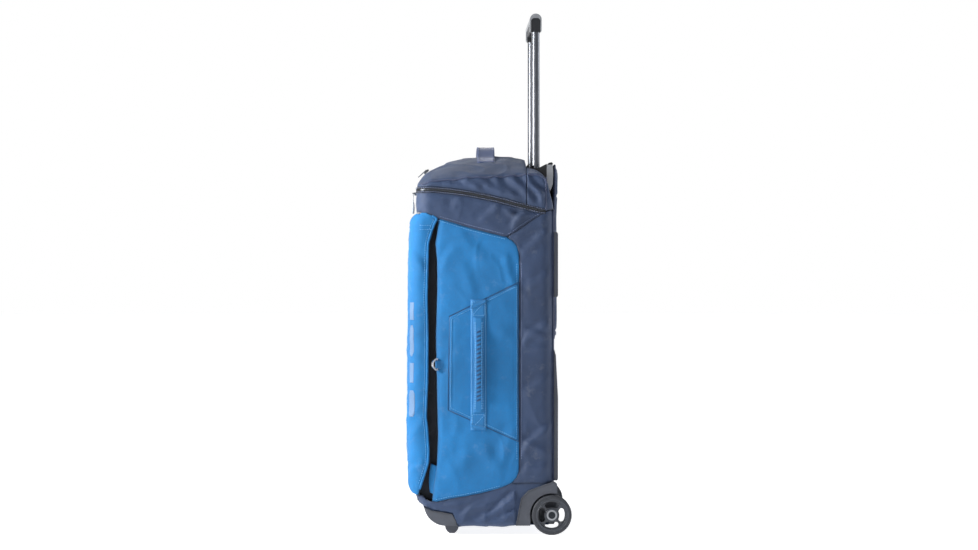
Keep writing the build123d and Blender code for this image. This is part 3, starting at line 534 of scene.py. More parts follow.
def tube(name, path, radius, material, sides=8, flat=1.0, ring=False, across=None):
    """A closed tube along a path of points; flat squeezes it along the direction across."""
    path = np.asarray(path, float)
    tangent = np.gradient(path, axis=0)
    tangent /= np.linalg.norm(tangent, axis=1, keepdims=True)
    guide = np.array(across if across is not None else (0.3, 0.5, 0.8), float)
    side = np.cross(tangent, guide)
    side /= np.maximum(np.linalg.norm(side, axis=1, keepdims=True), 1e-9)
    lift = np.cross(side, tangent)
    angles = np.arange(sides) * 2 * pi / sides
    radius = np.broadcast_to(radius, (len(path),))[:, None, None]
    points = (path[:, None] + radius * (np.cos(angles)[None, :, None] * side[:, None]
                                       + flat * np.sin(angles)[None, :, None] * lift[:, None]))
    faces = grid_faces(len(path), sides, ring=True)
    if not ring:
        faces += [tuple(range(sides))[::-1], tuple((len(path) - 1) * sides + k for k in range(sides))]
    else:
        last = (len(path) - 1) * sides
        faces += [(last + k, last + (k + 1) % sides, (k + 1) % sides, k) for k in range(sides)]
    return put_mesh(name, points.reshape(-1, 3), faces, material)


def stitches(name, path, outward, material, length):
    """A line of separate stitches lying on a path, each a small spindle."""
    path = np.asarray(path, float)
    outward = np.broadcast_to(np.asarray(outward, float), path.shape)
    run = np.concatenate([[0], np.cumsum(np.linalg.norm(np.diff(path, axis=0), axis=1))])
    points, faces = [], []
    for start in np.arange(1.0, run[-1] - length, length + STITCH_GAP):
        at = start + length * np.array([0, 0.5, 1.0])
        line = np.stack([np.interp(at, run, path[:, k]) for k in range(3)], 1)
        up = np.stack([np.interp(at, run, outward[:, k]) for k in range(3)], 1)
        up /= np.linalg.norm(up, axis=1, keepdims=True)
        run_way = line[2] - line[0]
        side = np.cross(up, run_way / max(np.linalg.norm(run_way), 1e-9))
        base = len(points)
        for k, size in enumerate((0.45, 1.0, 0.45)):
            for way in ((-1, 0), (0, 1), (1, 0), (0, -1)):
                rise = STITCH_LIFT * size + way[1] * STITCH_RADIUS * 0.7 * size
                points.append(line[k] + side[k] * way[0] * STITCH_RADIUS * size + up[k] * rise)
        faces += grid_faces(3, 4, base, ring=True)
        faces += [(base + 3, base + 2, base + 1, base), (base + 8, base + 9, base + 10, base + 11)]
    return put_mesh(name, np.array(points), faces, material)


def joined(name, parts):
    """Several mesh objects made into one."""
    bpy.ops.object.select_all(action="DESELECT")
    for part in parts:
        part.select_set(True)
    bpy.context.view_layer.objects.active = parts[0]
    bpy.ops.object.join()
    parts[0].name = name
    parts[0].data.name = name
    return parts[0]


def mirrored(grid):
    """The same grid on the bag's other side."""
    return grid * np.array([-1.0, 1.0, 1.0])


SIDES = (("right", 1), ("left", -1))


def sided(grid, sign):
    """The grid itself for the right side, mirrored for the left."""
    return grid if sign > 0 else mirrored(grid)


# ---------------------------------------------------------------- the stuffed body


def belly(y, z):
    """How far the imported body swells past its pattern, in millimetres."""
    tall = np.sin(pi * np.clip((z - 40) / 720, 0, 1)) ** 0.8
    deep = np.cos(pi * np.clip((y + 8) / 330, -0.5, 0.5)) ** 1.2
    return 3.4 * tall * deep


def section(s, z, half=None, front=None, back=None, radius=PLAN_RADIUS):
    """Point of the body's plan at height z, by the run s from the front's middle round the right side."""
    z = np.broadcast_to(z, np.shape(s)).astype(float)
    half = HALF if half is None else half
    front = along(BODY_FRONT, z) if front is None else front
    back = BACK if back is None else back
    foot = np.clip((z - BOTTOM) / 12, 0, 1)
    tuck = 12 * (1 - np.sqrt(1 - (1 - foot) ** 2))
    half, back = half - tuck, back - tuck
    radius = np.minimum(radius, (back - front) / 2 - 1)
    way, s = np.sign(s), np.abs(s)
    flat, arc = half - radius, radius * pi / 2
    side = back - front - 2 * radius
    a = np.clip((s - flat) / radius, 0, pi / 2)
    b = np.clip((s - flat - arc - side) / radius, 0, pi / 2)
    x = np.minimum(s, flat) + radius * np.sin(a) - radius * (1 - np.cos(b))
    x = x - np.clip(s - flat - 2 * arc - side, 0, None)
    y = front + radius * (1 - np.cos(a)) + np.clip(s - flat - arc, 0, side) + radius * np.sin(b)
    return np.stack([way * np.where(s == 0, 0, x), y, z], -1)


def run_to(y, z):
    """The run from the middle of the front to the side's point at depth y."""
    front = along(BODY_FRONT, z)
    return HALF - PLAN_RADIUS + PLAN_RADIUS * pi / 2 + y - (front + PLAN_RADIUS)


def half_round(z):
    """The run from the middle of the front to the middle of the back."""
    front = along(BODY_FRONT, z)
    return 2 * (HALF - PLAN_RADIUS) + PLAN_RADIUS * pi + BACK - front - 2 * PLAN_RADIUS


def side_coordinate(grid):
    """Depth along the bag's skin: Y on the sides, carried on round the corners by X."""
    wrap = np.clip(HALF - PLAN_RADIUS * 0.3 - np.abs(grid[..., 0]), 0, None)
    return grid[..., 1] + np.sign(grid[..., 1]) * wrap


def folds(y, z, creases):
    """Summed height of listed creases: each is start, end, width and height, with soft ends."""
    total = np.zeros(np.shape(y))
    for (y0, z0), (y1, z1), width, height in creases:
        run = np.hypot(y1 - y0, z1 - z0)
        ty, tz = (y1 - y0) / run, (z1 - z0) / run
        t = ((y - y0) * ty + (z - z0) * tz) / run
        bend = 3.0 * np.sin(t * 5 + y0)
        off = -(y - y0) * tz + (z - z0) * ty + bend
        ends = smooth(-0.15, 0.2, t) * smooth(1.15, 0.8, t)
        ridge, hollow = off / width, (off - 1.6 * width) / width
        total = total + 2.0 * height * ends * (np.exp(-(ridge ** 2)) - 0.6 * np.exp(-(hollow ** 2)))
    return total


def puffed(grid, edge, height, reach, creases=(), ripple=0.8, seed=1, sign=1):
    """The grid pushed out along its normals: full in the middle, drawn in at its sewn edges, wrinkled."""
    n = normals_of(grid)
    middle = np.array([0.0, -8.0, 0.0])
    away = grid - middle
    away[..., 2] = 0
    if np.mean((n * away).sum(2)) < 0:
        n = -n
    y, z = side_coordinate(grid), grid[..., 2]
    full = 1 - np.exp(-np.clip(edge, 0, None) / reach)
    pucker = np.exp(-np.clip(edge, 0, None) / 9) * value_noise(y, z, 9, seed + 3) * 0.9
    swell = height * full + folds(y, z, creases) * smooth(0, 12, edge)
    wrinkles = 1.5 * ripple * (crumple(y, z, 46, seed + sign) - 0.35)
    swell = swell + wrinkles * smooth(2, 26, edge) + pucker * ripple
    swell = swell + ripple * 0.5 * value_noise(y, z, 17, seed + 2 * sign + 20) * smooth(0, 14, edge)
    return grid + n * (swell + belly(grid[..., 1], z))[..., None]


def edge_distance(rows, cols, grid, sides="tblr"):
    """Rough distance of grid points from chosen edges: t last row, b first row, l first, r last column."""
    far = np.full((rows, cols), 1e3)
    steps_u = np.linalg.norm(np.diff(grid, axis=1), axis=2)
    steps_v = np.linalg.norm(np.diff(grid, axis=0), axis=2)
    run_u = np.concatenate([np.zeros((rows, 1)), np.cumsum(steps_u, 1)], 1)
    run_v = np.concatenate([np.zeros((1, cols)), np.cumsum(steps_v, 0)], 0)
    for side, value in (("l", run_u), ("r", run_u[:, -1:] - run_u), ("b", run_v), ("t", run_v[-1:] - run_v)):
        if side in sides:
            far = np.minimum(far, value)
    return far


def seam_shade_weight(edge, width=3.5):
    """Seam attribute, the weight of painted shade along a sewn edge: 1 on the sewn edge, fading over a few
    millimetres.
    """
    return np.exp(-((edge / width) ** 2)) * 0.8


class Skin:
    """The outer faces of made pieces, for laying trim on them."""

    def __init__(self, *pieces):
        points, faces = [], []
        for piece in pieces:
            start = len(points)
            points += [v.co * 1000 for v in piece.data.vertices]
            faces += [[start + k for k in p.vertices] for p in piece.data.polygons]
        self.tree = BVHTree.FromPolygons(points, faces)

    def lay(self, path, way, lift=0.4):
        """A path moved along the direction way until it lies on the skin, and the skin's normals there."""
        path, way = np.asarray(path, float), Vector(way).normalized()
        out, normals, last = [], [], None
        for p in path:
            start = Vector(p) - way * 60
            hit, normal, _, _ = self.tree.ray_cast(start, way, 140)
            if hit is None:
                hit, normal = last if last else (Vector(p), -way)
            if normal.dot(way) > 0:
                normal = -normal
            last = (hit, normal)
            out.append(np.array(hit + normal * lift))
            normals.append(np.array(normal))
        return np.array(out), np.array(normals)


def side_line(points, sign, count=90, soft=3):
    """A drawn (Y, Z) line on one side of the bag, as points well outside it."""
    line = rounded(points, count, soft)
    return np.column_stack([np.full(len(line), sign * (HALF + 5)), line])


def strap(name, path, across, width, thick, material):
    """Flat webbing along a path: a closed band with rounded, beaded edges."""
    path, across = np.asarray(path, float), np.asarray(across, float)
    across = np.broadcast_to(across / np.linalg.norm(across), path.shape)
    tangent = np.gradient(path, axis=0)
    tangent /= np.linalg.norm(tangent, axis=1, keepdims=True)
    up = np.cross(tangent, across)
    up /= np.linalg.norm(up, axis=1, keepdims=True)
    half = width / 2
    outline = [(-half, -0.5), (-half * 0.96, 0.62), (-half * 0.8, 0.5), (0, 0.5), (half * 0.8, 0.5),
               (half * 0.96, 0.62), (half, -0.5), (half * 0.5, -0.5), (-half * 0.5, -0.5)]
    points = np.stack([path + across * a + up * b * thick for a, b in outline], 1)
    run = np.concatenate([[0], np.cumsum(np.linalg.norm(np.diff(path, axis=0), axis=1))])
    cloth = np.stack([np.broadcast_to([[a for a, _ in outline]], points.shape[:2]),
                      np.broadcast_to(run[:, None], points.shape[:2]), np.zeros(points.shape[:2])], 2)
    n = len(outline)
    faces = grid_faces(len(path), n, ring=True)
    faces += [tuple(range(n))[::-1], tuple((len(path) - 1) * n + k for k in range(n))]
    return put_mesh(name, points.reshape(-1, 3), faces, material, cloth.reshape(-1, 3))


def teeth(name, path, out, across, material, pitch=3.0, size=(2.2, 1.7, 1.1)):
    """A row of separate zip teeth along a path: each a small block with a narrower nose."""
    path = np.asarray(path, float)
    run = np.concatenate([[0], np.cumsum(np.linalg.norm(np.diff(path, axis=0), axis=1))])
    tangent = np.gradient(path, axis=0)
    out = np.broadcast_to(np.asarray(out, float), path.shape)
    across = np.broadcast_to(np.asarray(across, float), path.shape)
    points, faces = [], []
    for at in np.arange(pitch / 2, run[-1], pitch):
        lines = (path, tangent, out, across)
        here, t, o, a = (np.array([np.interp(at, run, line[:, k]) for k in range(3)]) for line in lines)
        t, o, a = t / np.linalg.norm(t), o / np.linalg.norm(o), a / np.linalg.norm(a)
        base = len(points)
        for lift, wide in ((0, 1.0), (size[1], 0.7)):
            for i, j in ((-1, -1), (1, -1), (1, 1), (-1, 1)):
                points.append(here + a * i * size[0] / 2 * wide + t * j * size[2] / 2 * wide + o * lift)
        faces += grid_faces(2, 4, base, ring=True)
        faces += [(base + 3, base + 2, base + 1, base), (base + 4, base + 5, base + 6, base + 7)]
    return put_mesh(name, np.array(points), faces, material, shade=False)


# ---------------------------------------------------------------- panels


PANEL_CREASES = [((-70, 640), (10, 560), 16, 1.0), ((20, 150), (58, 230), 12, 1.2),
                 ((-95, 120), (-40, 170), 15, 1.0), ((-60, 575), (-30, 500), 12, 0.9),
                 ((30, 590), (58, 520), 9, 1.0), ((-100, 330), (-60, 395), 10, 0.7),
                 ((20, 440), (60, 400), 10, 0.8), ((-20, 190), (30, 130), 12, 1.0),
                 ((-105, 560), (-70, 610), 9, 0.9)]
REAR_CREASES = [((66, 170), (132, 235), 9, 1.8), ((70, 205), (135, 160), 8, 1.4),
                ((66, 400), (130, 455), 10, 1.6), ((70, 440), (134, 405), 8, 1.2),
                ((70, 300), (130, 330), 10, 1.0), ((80, 520), (134, 560), 9, 1.1),
                ((70, 600), (130, 640), 9, 1.3), ((66, 130), (120, 150), 8, 1.2)]
BASE_CREASES = [((-25, 28), (60, 78), 8, 1.8), ((0, 24), (70, 50), 8, 1.3), ((-60, 40), (0, 70), 8, 1.4),
                ((-90, 60), (-40, 70), 7, 1.0), ((20, 60), (80, 95), 7, 1.3)]
BAND_CREASES = [((60, 672), (108, 690), 7, 1.8), ((45, 650), (80, 680), 8, 1.6),
                ((-20, 660), (20, 700), 9, 1.2), ((-80, 690), (-50, 720), 9, 1.0),
                ((30, 690), (70, 668), 7, 1.2)]
ROOF_CREASES = [((-60, 752), (-10, 722), 8, 2.0), ((-30, 754), (30, 716), 9, 2.2),
                ((5, 756), (60, 712), 9, 2.2), ((40, 757), (95, 705), 9, 2.4),
                ((75, 758), (115, 715), 8, 2.0), ((-100, 748), (-60, 730), 8, 1.4),
                ((90, 745), (116, 700), 6, 1.6), ((-130, 745), (-100, 735), 7, 1.0)]
LID_CREASES = [((-300, 620), (-230, 560), 16, 1.0), ((-330, 140), (-240, 230), 16, 1.0),
               ((-290, 420), (-210, 380), 14, 0.7), ((-210, 180), (-180, 260), 12, 0.8),
               ((-168, 600), (-140, 560), 9, 0.8), ((-166, 200), (-138, 250), 8, 0.8),
               ((-165, 130), (-140, 160), 7, 0.9), ((-168, 420), (-140, 395), 9, 0.6)]
DROP = [(-153, 0), (-137, 22), (-107, 36), (-73, 44.5), (-18, 50), (30, 48), (79, 38), (98, 27), (112, 17),
        (120, 11), (137, 8)]


def side_panel_grid(rows=150, cols=62):
    """The blue side panel: wavy front edge along the gap, slanted top and foot, rounded rear corners."""
    t, c = np.linspace(0, 1, rows)[:, None], np.linspace(0, 1, cols)[None]
    c = 0.5 * c + 0.5 * np.sin(c * pi / 2)
    left = along(GAP_EDGE, 71 + t * 600)
    y = left + (PANEL_REAR - left) * c
    foot, top = along(PANEL_FOOT, y), along(PANEL_TOP, y)
    z = foot + t * (top - foot)
    return section(run_to(y, z), z)


def band_grid(rows=26, cols=250):
    """The navy band under the top zip, from one rear tip round the front to the other."""
    s = np.linspace(-1, 1, cols) * run_to(118.0, 700)
    y = section(s, np.full(cols, 700.0))[:, 1]
    foot = along([(-153, BAND_FRONT), (-130, 680), (-109, 670), *PANEL_TOP[1:4], *SHOULDER], y)
    top = np.maximum(along(ZIP_LINE, y) - ZIP_WIDTH / 2, foot + 0.4)
    t = np.linspace(0, 1, rows)[:, None]
    z = foot + t * (top - foot)
    return section(np.broadcast_to(s, z.shape), z)


def rear_grid(rows=170, cols=170):
    """The navy rear shell, from one side panel's rear edge round the back to the other's."""
    z = np.linspace(REAR_FOOT, 690, rows)
    corner = run_to(108, 400)
    edge = [(REAR_FOOT, run_to(45.5, 400)), (120, run_to(57, 400)), (133, run_to(62, 400)),
            (148, run_to(63, 400)),
            (583, run_to(63, 400)), (598, run_to(62, 400)), (612, run_to(58, 400)), (622.5, run_to(49, 400)),
            (630, run_to(38, 400)), (645, run_to(60, 400)), (666, run_to(90, 400)), (684.6, corner + 11.3),
            (690, corner + 40)]
    start = along(edge, z)[:, None]
    end = half_round(400.0)
    s = start + (end - start) * np.linspace(0, 2, cols)[None]
    points = section(np.minimum(s, 2 * end - s), np.broadcast_to(z[:, None], s.shape))
    points[..., 0] *= np.where(s > end, -1, 1)
    return points


def base_grid(rows=44, cols=440):
    """The navy base: a ring of cloth from the bottom edge up to its seams, cut round the wheel housings."""
    full = half_round(100.0)
    s = np.linspace(-full, full, cols)
    place = section(s, np.full(cols, 100.0))
    x, y = np.abs(place[:, 0]), place[:, 1]
    top = np.where(y > 45.5, REAR_FOOT, np.where(y < -140, 84.0, along(PANEL_FOOT, y)))
    low = np.full(cols, BOTTOM)
    housed = (x > 150) & (y > 56.5)
    low[housed] = np.maximum(along(HOUSING_TOP, y[housed]) - 3, BOTTOM)
    low = np.minimum(low, top - 0.5)
    t = np.linspace(0, 1, rows)[:, None] ** 1.25
    z = low + t * (top - low)
    shift = along(BODY_FRONT, z) - along(BODY_FRONT, 100.0)
    gone = np.clip((y + 123) / (56 + 123), 0, 1)[None]
    return section(np.sign(s)[None] * (np.abs(s)[None] - shift * gone), z)


def lid_grid(rows=170, cols=152):
    """The lid: a tray whose face turns round both front corners to the flaps that hide the zip."""
    half = HALF + 1
    profile = rounded(LID_PROFILE, rows, 4)
    out = np.zeros((rows, cols, 3))
    for i, (front, z) in enumerate(profile):
        rear = max(along(FLAP_EDGE, z), front + 1.5)
        radius = float(np.clip(rear - front, 1.5, 28))
        total = half - radius + radius * pi / 2 + max(rear - front - radius, 0)
        s = total * np.linspace(-1, 1, cols)
        out[i] = section(s, np.full(cols, z), half=half, front=front, back=400.0, radius=radius)
        out[i, :, 2] = z
    return out


def roof_rows(start, end, count, low, inner, cols):
    """Cross strips of the roof from depth start to end: up the side, over the edge and in to inner."""
    profile = rounded(ROOF_PROFILE, 240, 6)
    keep = (profile[:, 0] >= start) & (profile[:, 0] <= end)
    profile = spread(profile[keep], count)
    out = np.zeros((count, cols, 3))
    edge = np.zeros((count, 3))
    for i, (y, crown) in enumerate(profile):
        inside = max(-123 - y, y - 108, 0)
        half = HALF - PLAN_RADIUS + np.sqrt(max(PLAN_RADIUS ** 2 - min(inside, 29.9) ** 2, 0))
        drop = along(DROP, y)
        foot = min(low(y), crown - drop - 0.3)
        top = crown - drop
        x = np.linspace(half, inner, 26)
        arc = np.column_stack([x, np.full(26, y), crown - drop * (x / half) ** 2])
        path = np.concatenate([spread([(half, y, foot), (half, y, top)], 12)[:-1], arc])
        out[i] = rounded(path, cols, 3)
        edge[i] = (half, y, top)
    return out, edge


def roof_grid():
    """The top lid's skin, from the left zip edge over the roof to the right, and its two roof edges."""
    low = lambda y: along(ZIP_LINE, y) + ZIP_WIDTH / 2
    half, edge = roof_rows(-153, LID_CUT + 0.5, 96, low, 0.0, 60)
    whole = np.concatenate([half, mirrored(half[:, -2::-1])], 1)
    return whole, edge


def swell_roof(grid, edge, seed):
    """Pushes the roof and cheeks out: sagging between seams, with creases that fan from the roof edge."""
    n = normals_of(grid)
    middle = np.array([0.0, -8.0, 640.0])
    if np.mean((n * (grid - middle)).sum(2)) < 0:
        n = -n
    x, y, z = grid[..., 0], grid[..., 1], grid[..., 2]
    side = smooth(0.55, 0.9, np.abs(n[..., 0]))
    wall = folds(y, z, ROOF_CREASES) * side
    top = (crumple(x, y, 52, seed) - 0.35) * 2.4 * (1 - side)
    top = top + value_noise(x, y, 20, seed + 4) * 0.7 * (1 - side)
    tucks = (crumple(y, z, 30, seed + 7) - 0.35) * 1.5 * side
    swell = 2.6 * (1 - np.exp(-edge / 16)) + (wall + top + tucks) * smooth(0, 14, edge)
    return grid + n * (swell + 0.4 * belly(y, z))[..., None]


class DUFFEL_OT_side_panels(bpy.types.Operator):
    """Blue side panels with their patches and seam stitching"""
    bl_idname = "duffel.side_panels"
    bl_label = "Side panels"

    def execute(self, context):
        sizes = context.scene.duffel_sizes
        thick = sizes.cloth * 1000
        for side, sign in SIDES:
            grid = sided(side_panel_grid(), sign)
            edge = edge_distance(*grid.shape[:2], grid)
            puff = puffed(grid, edge, sizes.puff * 750, 22, PANEL_CREASES, 0.75, 11, sign)
            roll = np.exp(-((edge_distance(*grid.shape[:2], grid, "l") / 5) ** 2)) * 2.5
            puff[..., 0] -= sign * roll
            panel = cloth_sheet(f"side_panel_{side}_cloth", puff, "panel", thick, seam_shade_weight(edge),
                                (0, -8, 380))
            finish_piece(panel, "bag", [f"side_panel_{side}"])
            self.add_patch(side, sign, Skin(panel), sizes)
        return {"FINISHED"}

    def add_patch(self, side, sign, skin, sizes):
        """The stitched reinforcement under the carry handle, a dark line of painted shade along its seam, and
        the thread lines of the panel.
        """
        rows, cols = 70, 46
        t, c = np.linspace(0, 1, rows)[:, None], np.linspace(0, 1, cols)[None]
        low, high = edges_of("side_patches")
        y = low[1] + 1.5 + (high[1] - low[1] - 3) * c + 0 * t
        foot, top = along([(-86, 265), (62, 198)], y), along([(-83, 462), (62, 533)], y)
        z = foot + t * (top - foot)
        flat = np.stack([np.full_like(y, sign * (HALF + 5)), y, z], 2)
        laid, _ = skin.lay(flat.reshape(-1, 3), (-sign, 0, 0), 0.9)
        grid = laid.reshape(rows, cols, 3)
        for _ in range(2):
            grid[1:-1, 1:-1] = (grid[:-2, 1:-1] + grid[2:, 1:-1] + grid[1:-1, :-2] + grid[1:-1, 2:]) / 4
        edge = edge_distance(rows, cols, grid)
        grid[..., 0] += sign * (0.9 * smooth(0, 3, edge) - 0.7 * np.exp(-(((edge - 5.5) / 1.6) ** 2))
                                + 0.8 * np.exp(-(((edge - 2.6) / 1.3) ** 2)))
        patch = cloth_sheet(f"side_patch_{side}_cloth", grid, "panel", 1.6, seam_shade_weight(edge, 1.6), (0, 0, 380))
        finish_piece(patch, "bag", ["side_patches"])
        line = Skin(patch)
        loop = [(-80, 458), (58, 526), (58, 204), (-82, 269), (-80, 458)]
        path, up = line.lay(side_line(loop, sign, 420, 1), (-sign, 0, 0), 0.1)
        thread = stitches(f"side_patch_{side}_thread", path, up, "thread_blue", sizes.stitch * 1000)
        finish_piece(thread, "bag")
        # A thin dark blue tube along the patch seam: painted shade for the seam's groove.
        seam_shade = [(-84.5, 463), (62, 535), (62, 197), (-87.5, 264), (-84.5, 463)]
        path, _ = skin.lay(side_line(seam_shade, sign, 420, 1), (-sign, 0, 0), 0.25)
        finish_piece(tube(f"side_patch_{side}_seam", path, 0.7, "seam_blue", 6), "bag")
        threads = []
        for k, line_points in enumerate((PANEL_TOP[:5], PANEL_FOOT[3:10])):
            shift = (-5, 5)[k]
            drawn = [(y, z + shift) for y, z in line_points]
            path, up = skin.lay(side_line(drawn, sign, 160, 2), (-sign, 0, 0), 0.1)
            threads.append(stitches(f"panel_thread_{side}_{k}", path, up, "thread_blue", sizes.stitch * 1000))
        drawn = [(58, 575), (58, 160)]
        path, up = skin.lay(side_line(drawn, sign, 200, 0), (-sign, 0, 0), 0.1)
        threads.append(stitches(f"panel_thread_{side}_rear", path, up, "thread_blue", sizes.stitch * 1000))
        finish_piece(joined(f"side_panel_{side}_thread", threads), "bag")


class DUFFEL_OT_navy_shell(bpy.types.Operator):
    """Navy rear shell, base and top band with their piping"""
    bl_idname = "duffel.navy_shell"
    bl_label = "Navy shell"

    def execute(self, context):
        sizes = context.scene.duffel_sizes
        thick = sizes.cloth * 1000
        grid = rear_grid()
        edge = edge_distance(*grid.shape[:2], grid)
        edge = np.minimum(edge, 400)
        back_flat = smooth(118, 136, grid[..., 1])
        puff = puffed(grid, edge, 2.6, 15, REAR_CREASES, 1.15, 31)
        puff = puff * (1 - 0.85 * back_flat[..., None]) + grid * 0.85 * back_flat[..., None]
        rear = cloth_sheet("rear_shell_cloth", puff, "shell", thick, seam_shade_weight(edge), (0, -8, 380))
        finish_piece(rear, "bag", ["rear_shell"])

        grid = base_grid()
        edge = edge_distance(*grid.shape[:2], grid, "tb")
        puff = puffed(grid, edge_distance(*grid.shape[:2], grid, "t"), 2.2, 14, BASE_CREASES, 1.2, 43)
        y, z = puff[..., 1], puff[..., 2]
        guarded = (np.abs(puff[..., 0]) > 116) & (y < -66) & (z < along(GUARD_TOP, y) + 2.5)
        housed = (np.abs(puff[..., 0]) > 148) & (y > 54)
        inward = np.stack([-np.sign(puff[..., 0]), 0.5 * np.ones_like(y), 0.3 * np.ones_like(y)], 2)
        puff = np.where((guarded | housed)[..., None], grid, puff)
        puff = puff + inward * np.where(guarded, 4.0, 0)[..., None]
        base = cloth_sheet("base_tub_cloth", puff, "shell", thick, seam_shade_weight(edge, 3), (0, -8, 60))
        sole_y = np.linspace(-88, 126, 60)
        sole_x = np.linspace(-176, 176, 90)
        sole = np.stack([*np.meshgrid(sole_x, sole_y), np.full((60, 90), BOTTOM + 0.8)], 2)
        sole[..., 2] += 0.8 * value_noise(sole[..., 0], sole[..., 1], 40, 5)
        sole_sheet = cloth_sheet("base_sole_cloth", sole, "shell", 2.5, None, (0, 0, 400))
        finish_piece(base, "bag", ["base_tub"])
        finish_piece(sole_sheet, "bag")

        grid = band_grid()
        edge = edge_distance(*grid.shape[:2], grid, "tb")
        puff = puffed(grid, edge, 2.6, 12, BAND_CREASES, 1.3, 53)
        # The band lies flat behind the hanging pulls, so that they can swing in.
        behind = (smooth(64, 30, np.abs(grid[..., 0])) * smooth(-120, -140, grid[..., 1]))[..., None]
        puff = puff * (1 - behind) + grid * behind
        band = cloth_sheet("top_band_cloth", puff, "shell", thick, seam_shade_weight(edge), (0, -8, 700))
        finish_piece(band, "bag", ["top_band"])
        self.add_trim(rear, band, sizes)
        return {"FINISHED"}

    def add_trim(self, rear, band, sizes):
        """Piping down the rear corners, and the thread beside the navy seams."""
        z = np.linspace(114, 688, 160)
        corner = run_to(108, 400.0)
        turn = np.arcsin((134.4 - 108) / PLAN_RADIUS)
        s = np.full(len(z), corner + PLAN_RADIUS * turn)
        pipes, threads = [], []
        for side, sign in SIDES:
            path = sided(section(s, z), sign)
            out = np.array([sign * cos(turn), sin(turn), 0])
            path = path + out * (1.6 + 0.5 * value_noise(z, z * 0, 14, 3)[:, None])
            pipes.append(tube(f"rear_piping_{side}", path, 2.0, "piping"))
            for skin, drawn, count in (
                (Skin(rear), [(68, 160), (68, 580)], 190),
                (Skin(band), [(40, 636), (60, 651), (90, 671), (108, 681)], 60),
                (Skin(band), [(-105, 674), (-44, 656), (5, 643.5), (30, 637)], 90),
            ):
                path, up = skin.lay(side_line(drawn, sign, count, 1), (-sign, 0, 0), 0.1)
                threads.append(stitches("navy_thread", path, up, "thread_navy", sizes.stitch * 1000))
        finish_piece(joined("rear_corner_piping", pipes), "bag")
        finish_piece(joined("navy_shell_thread", threads), "bag")


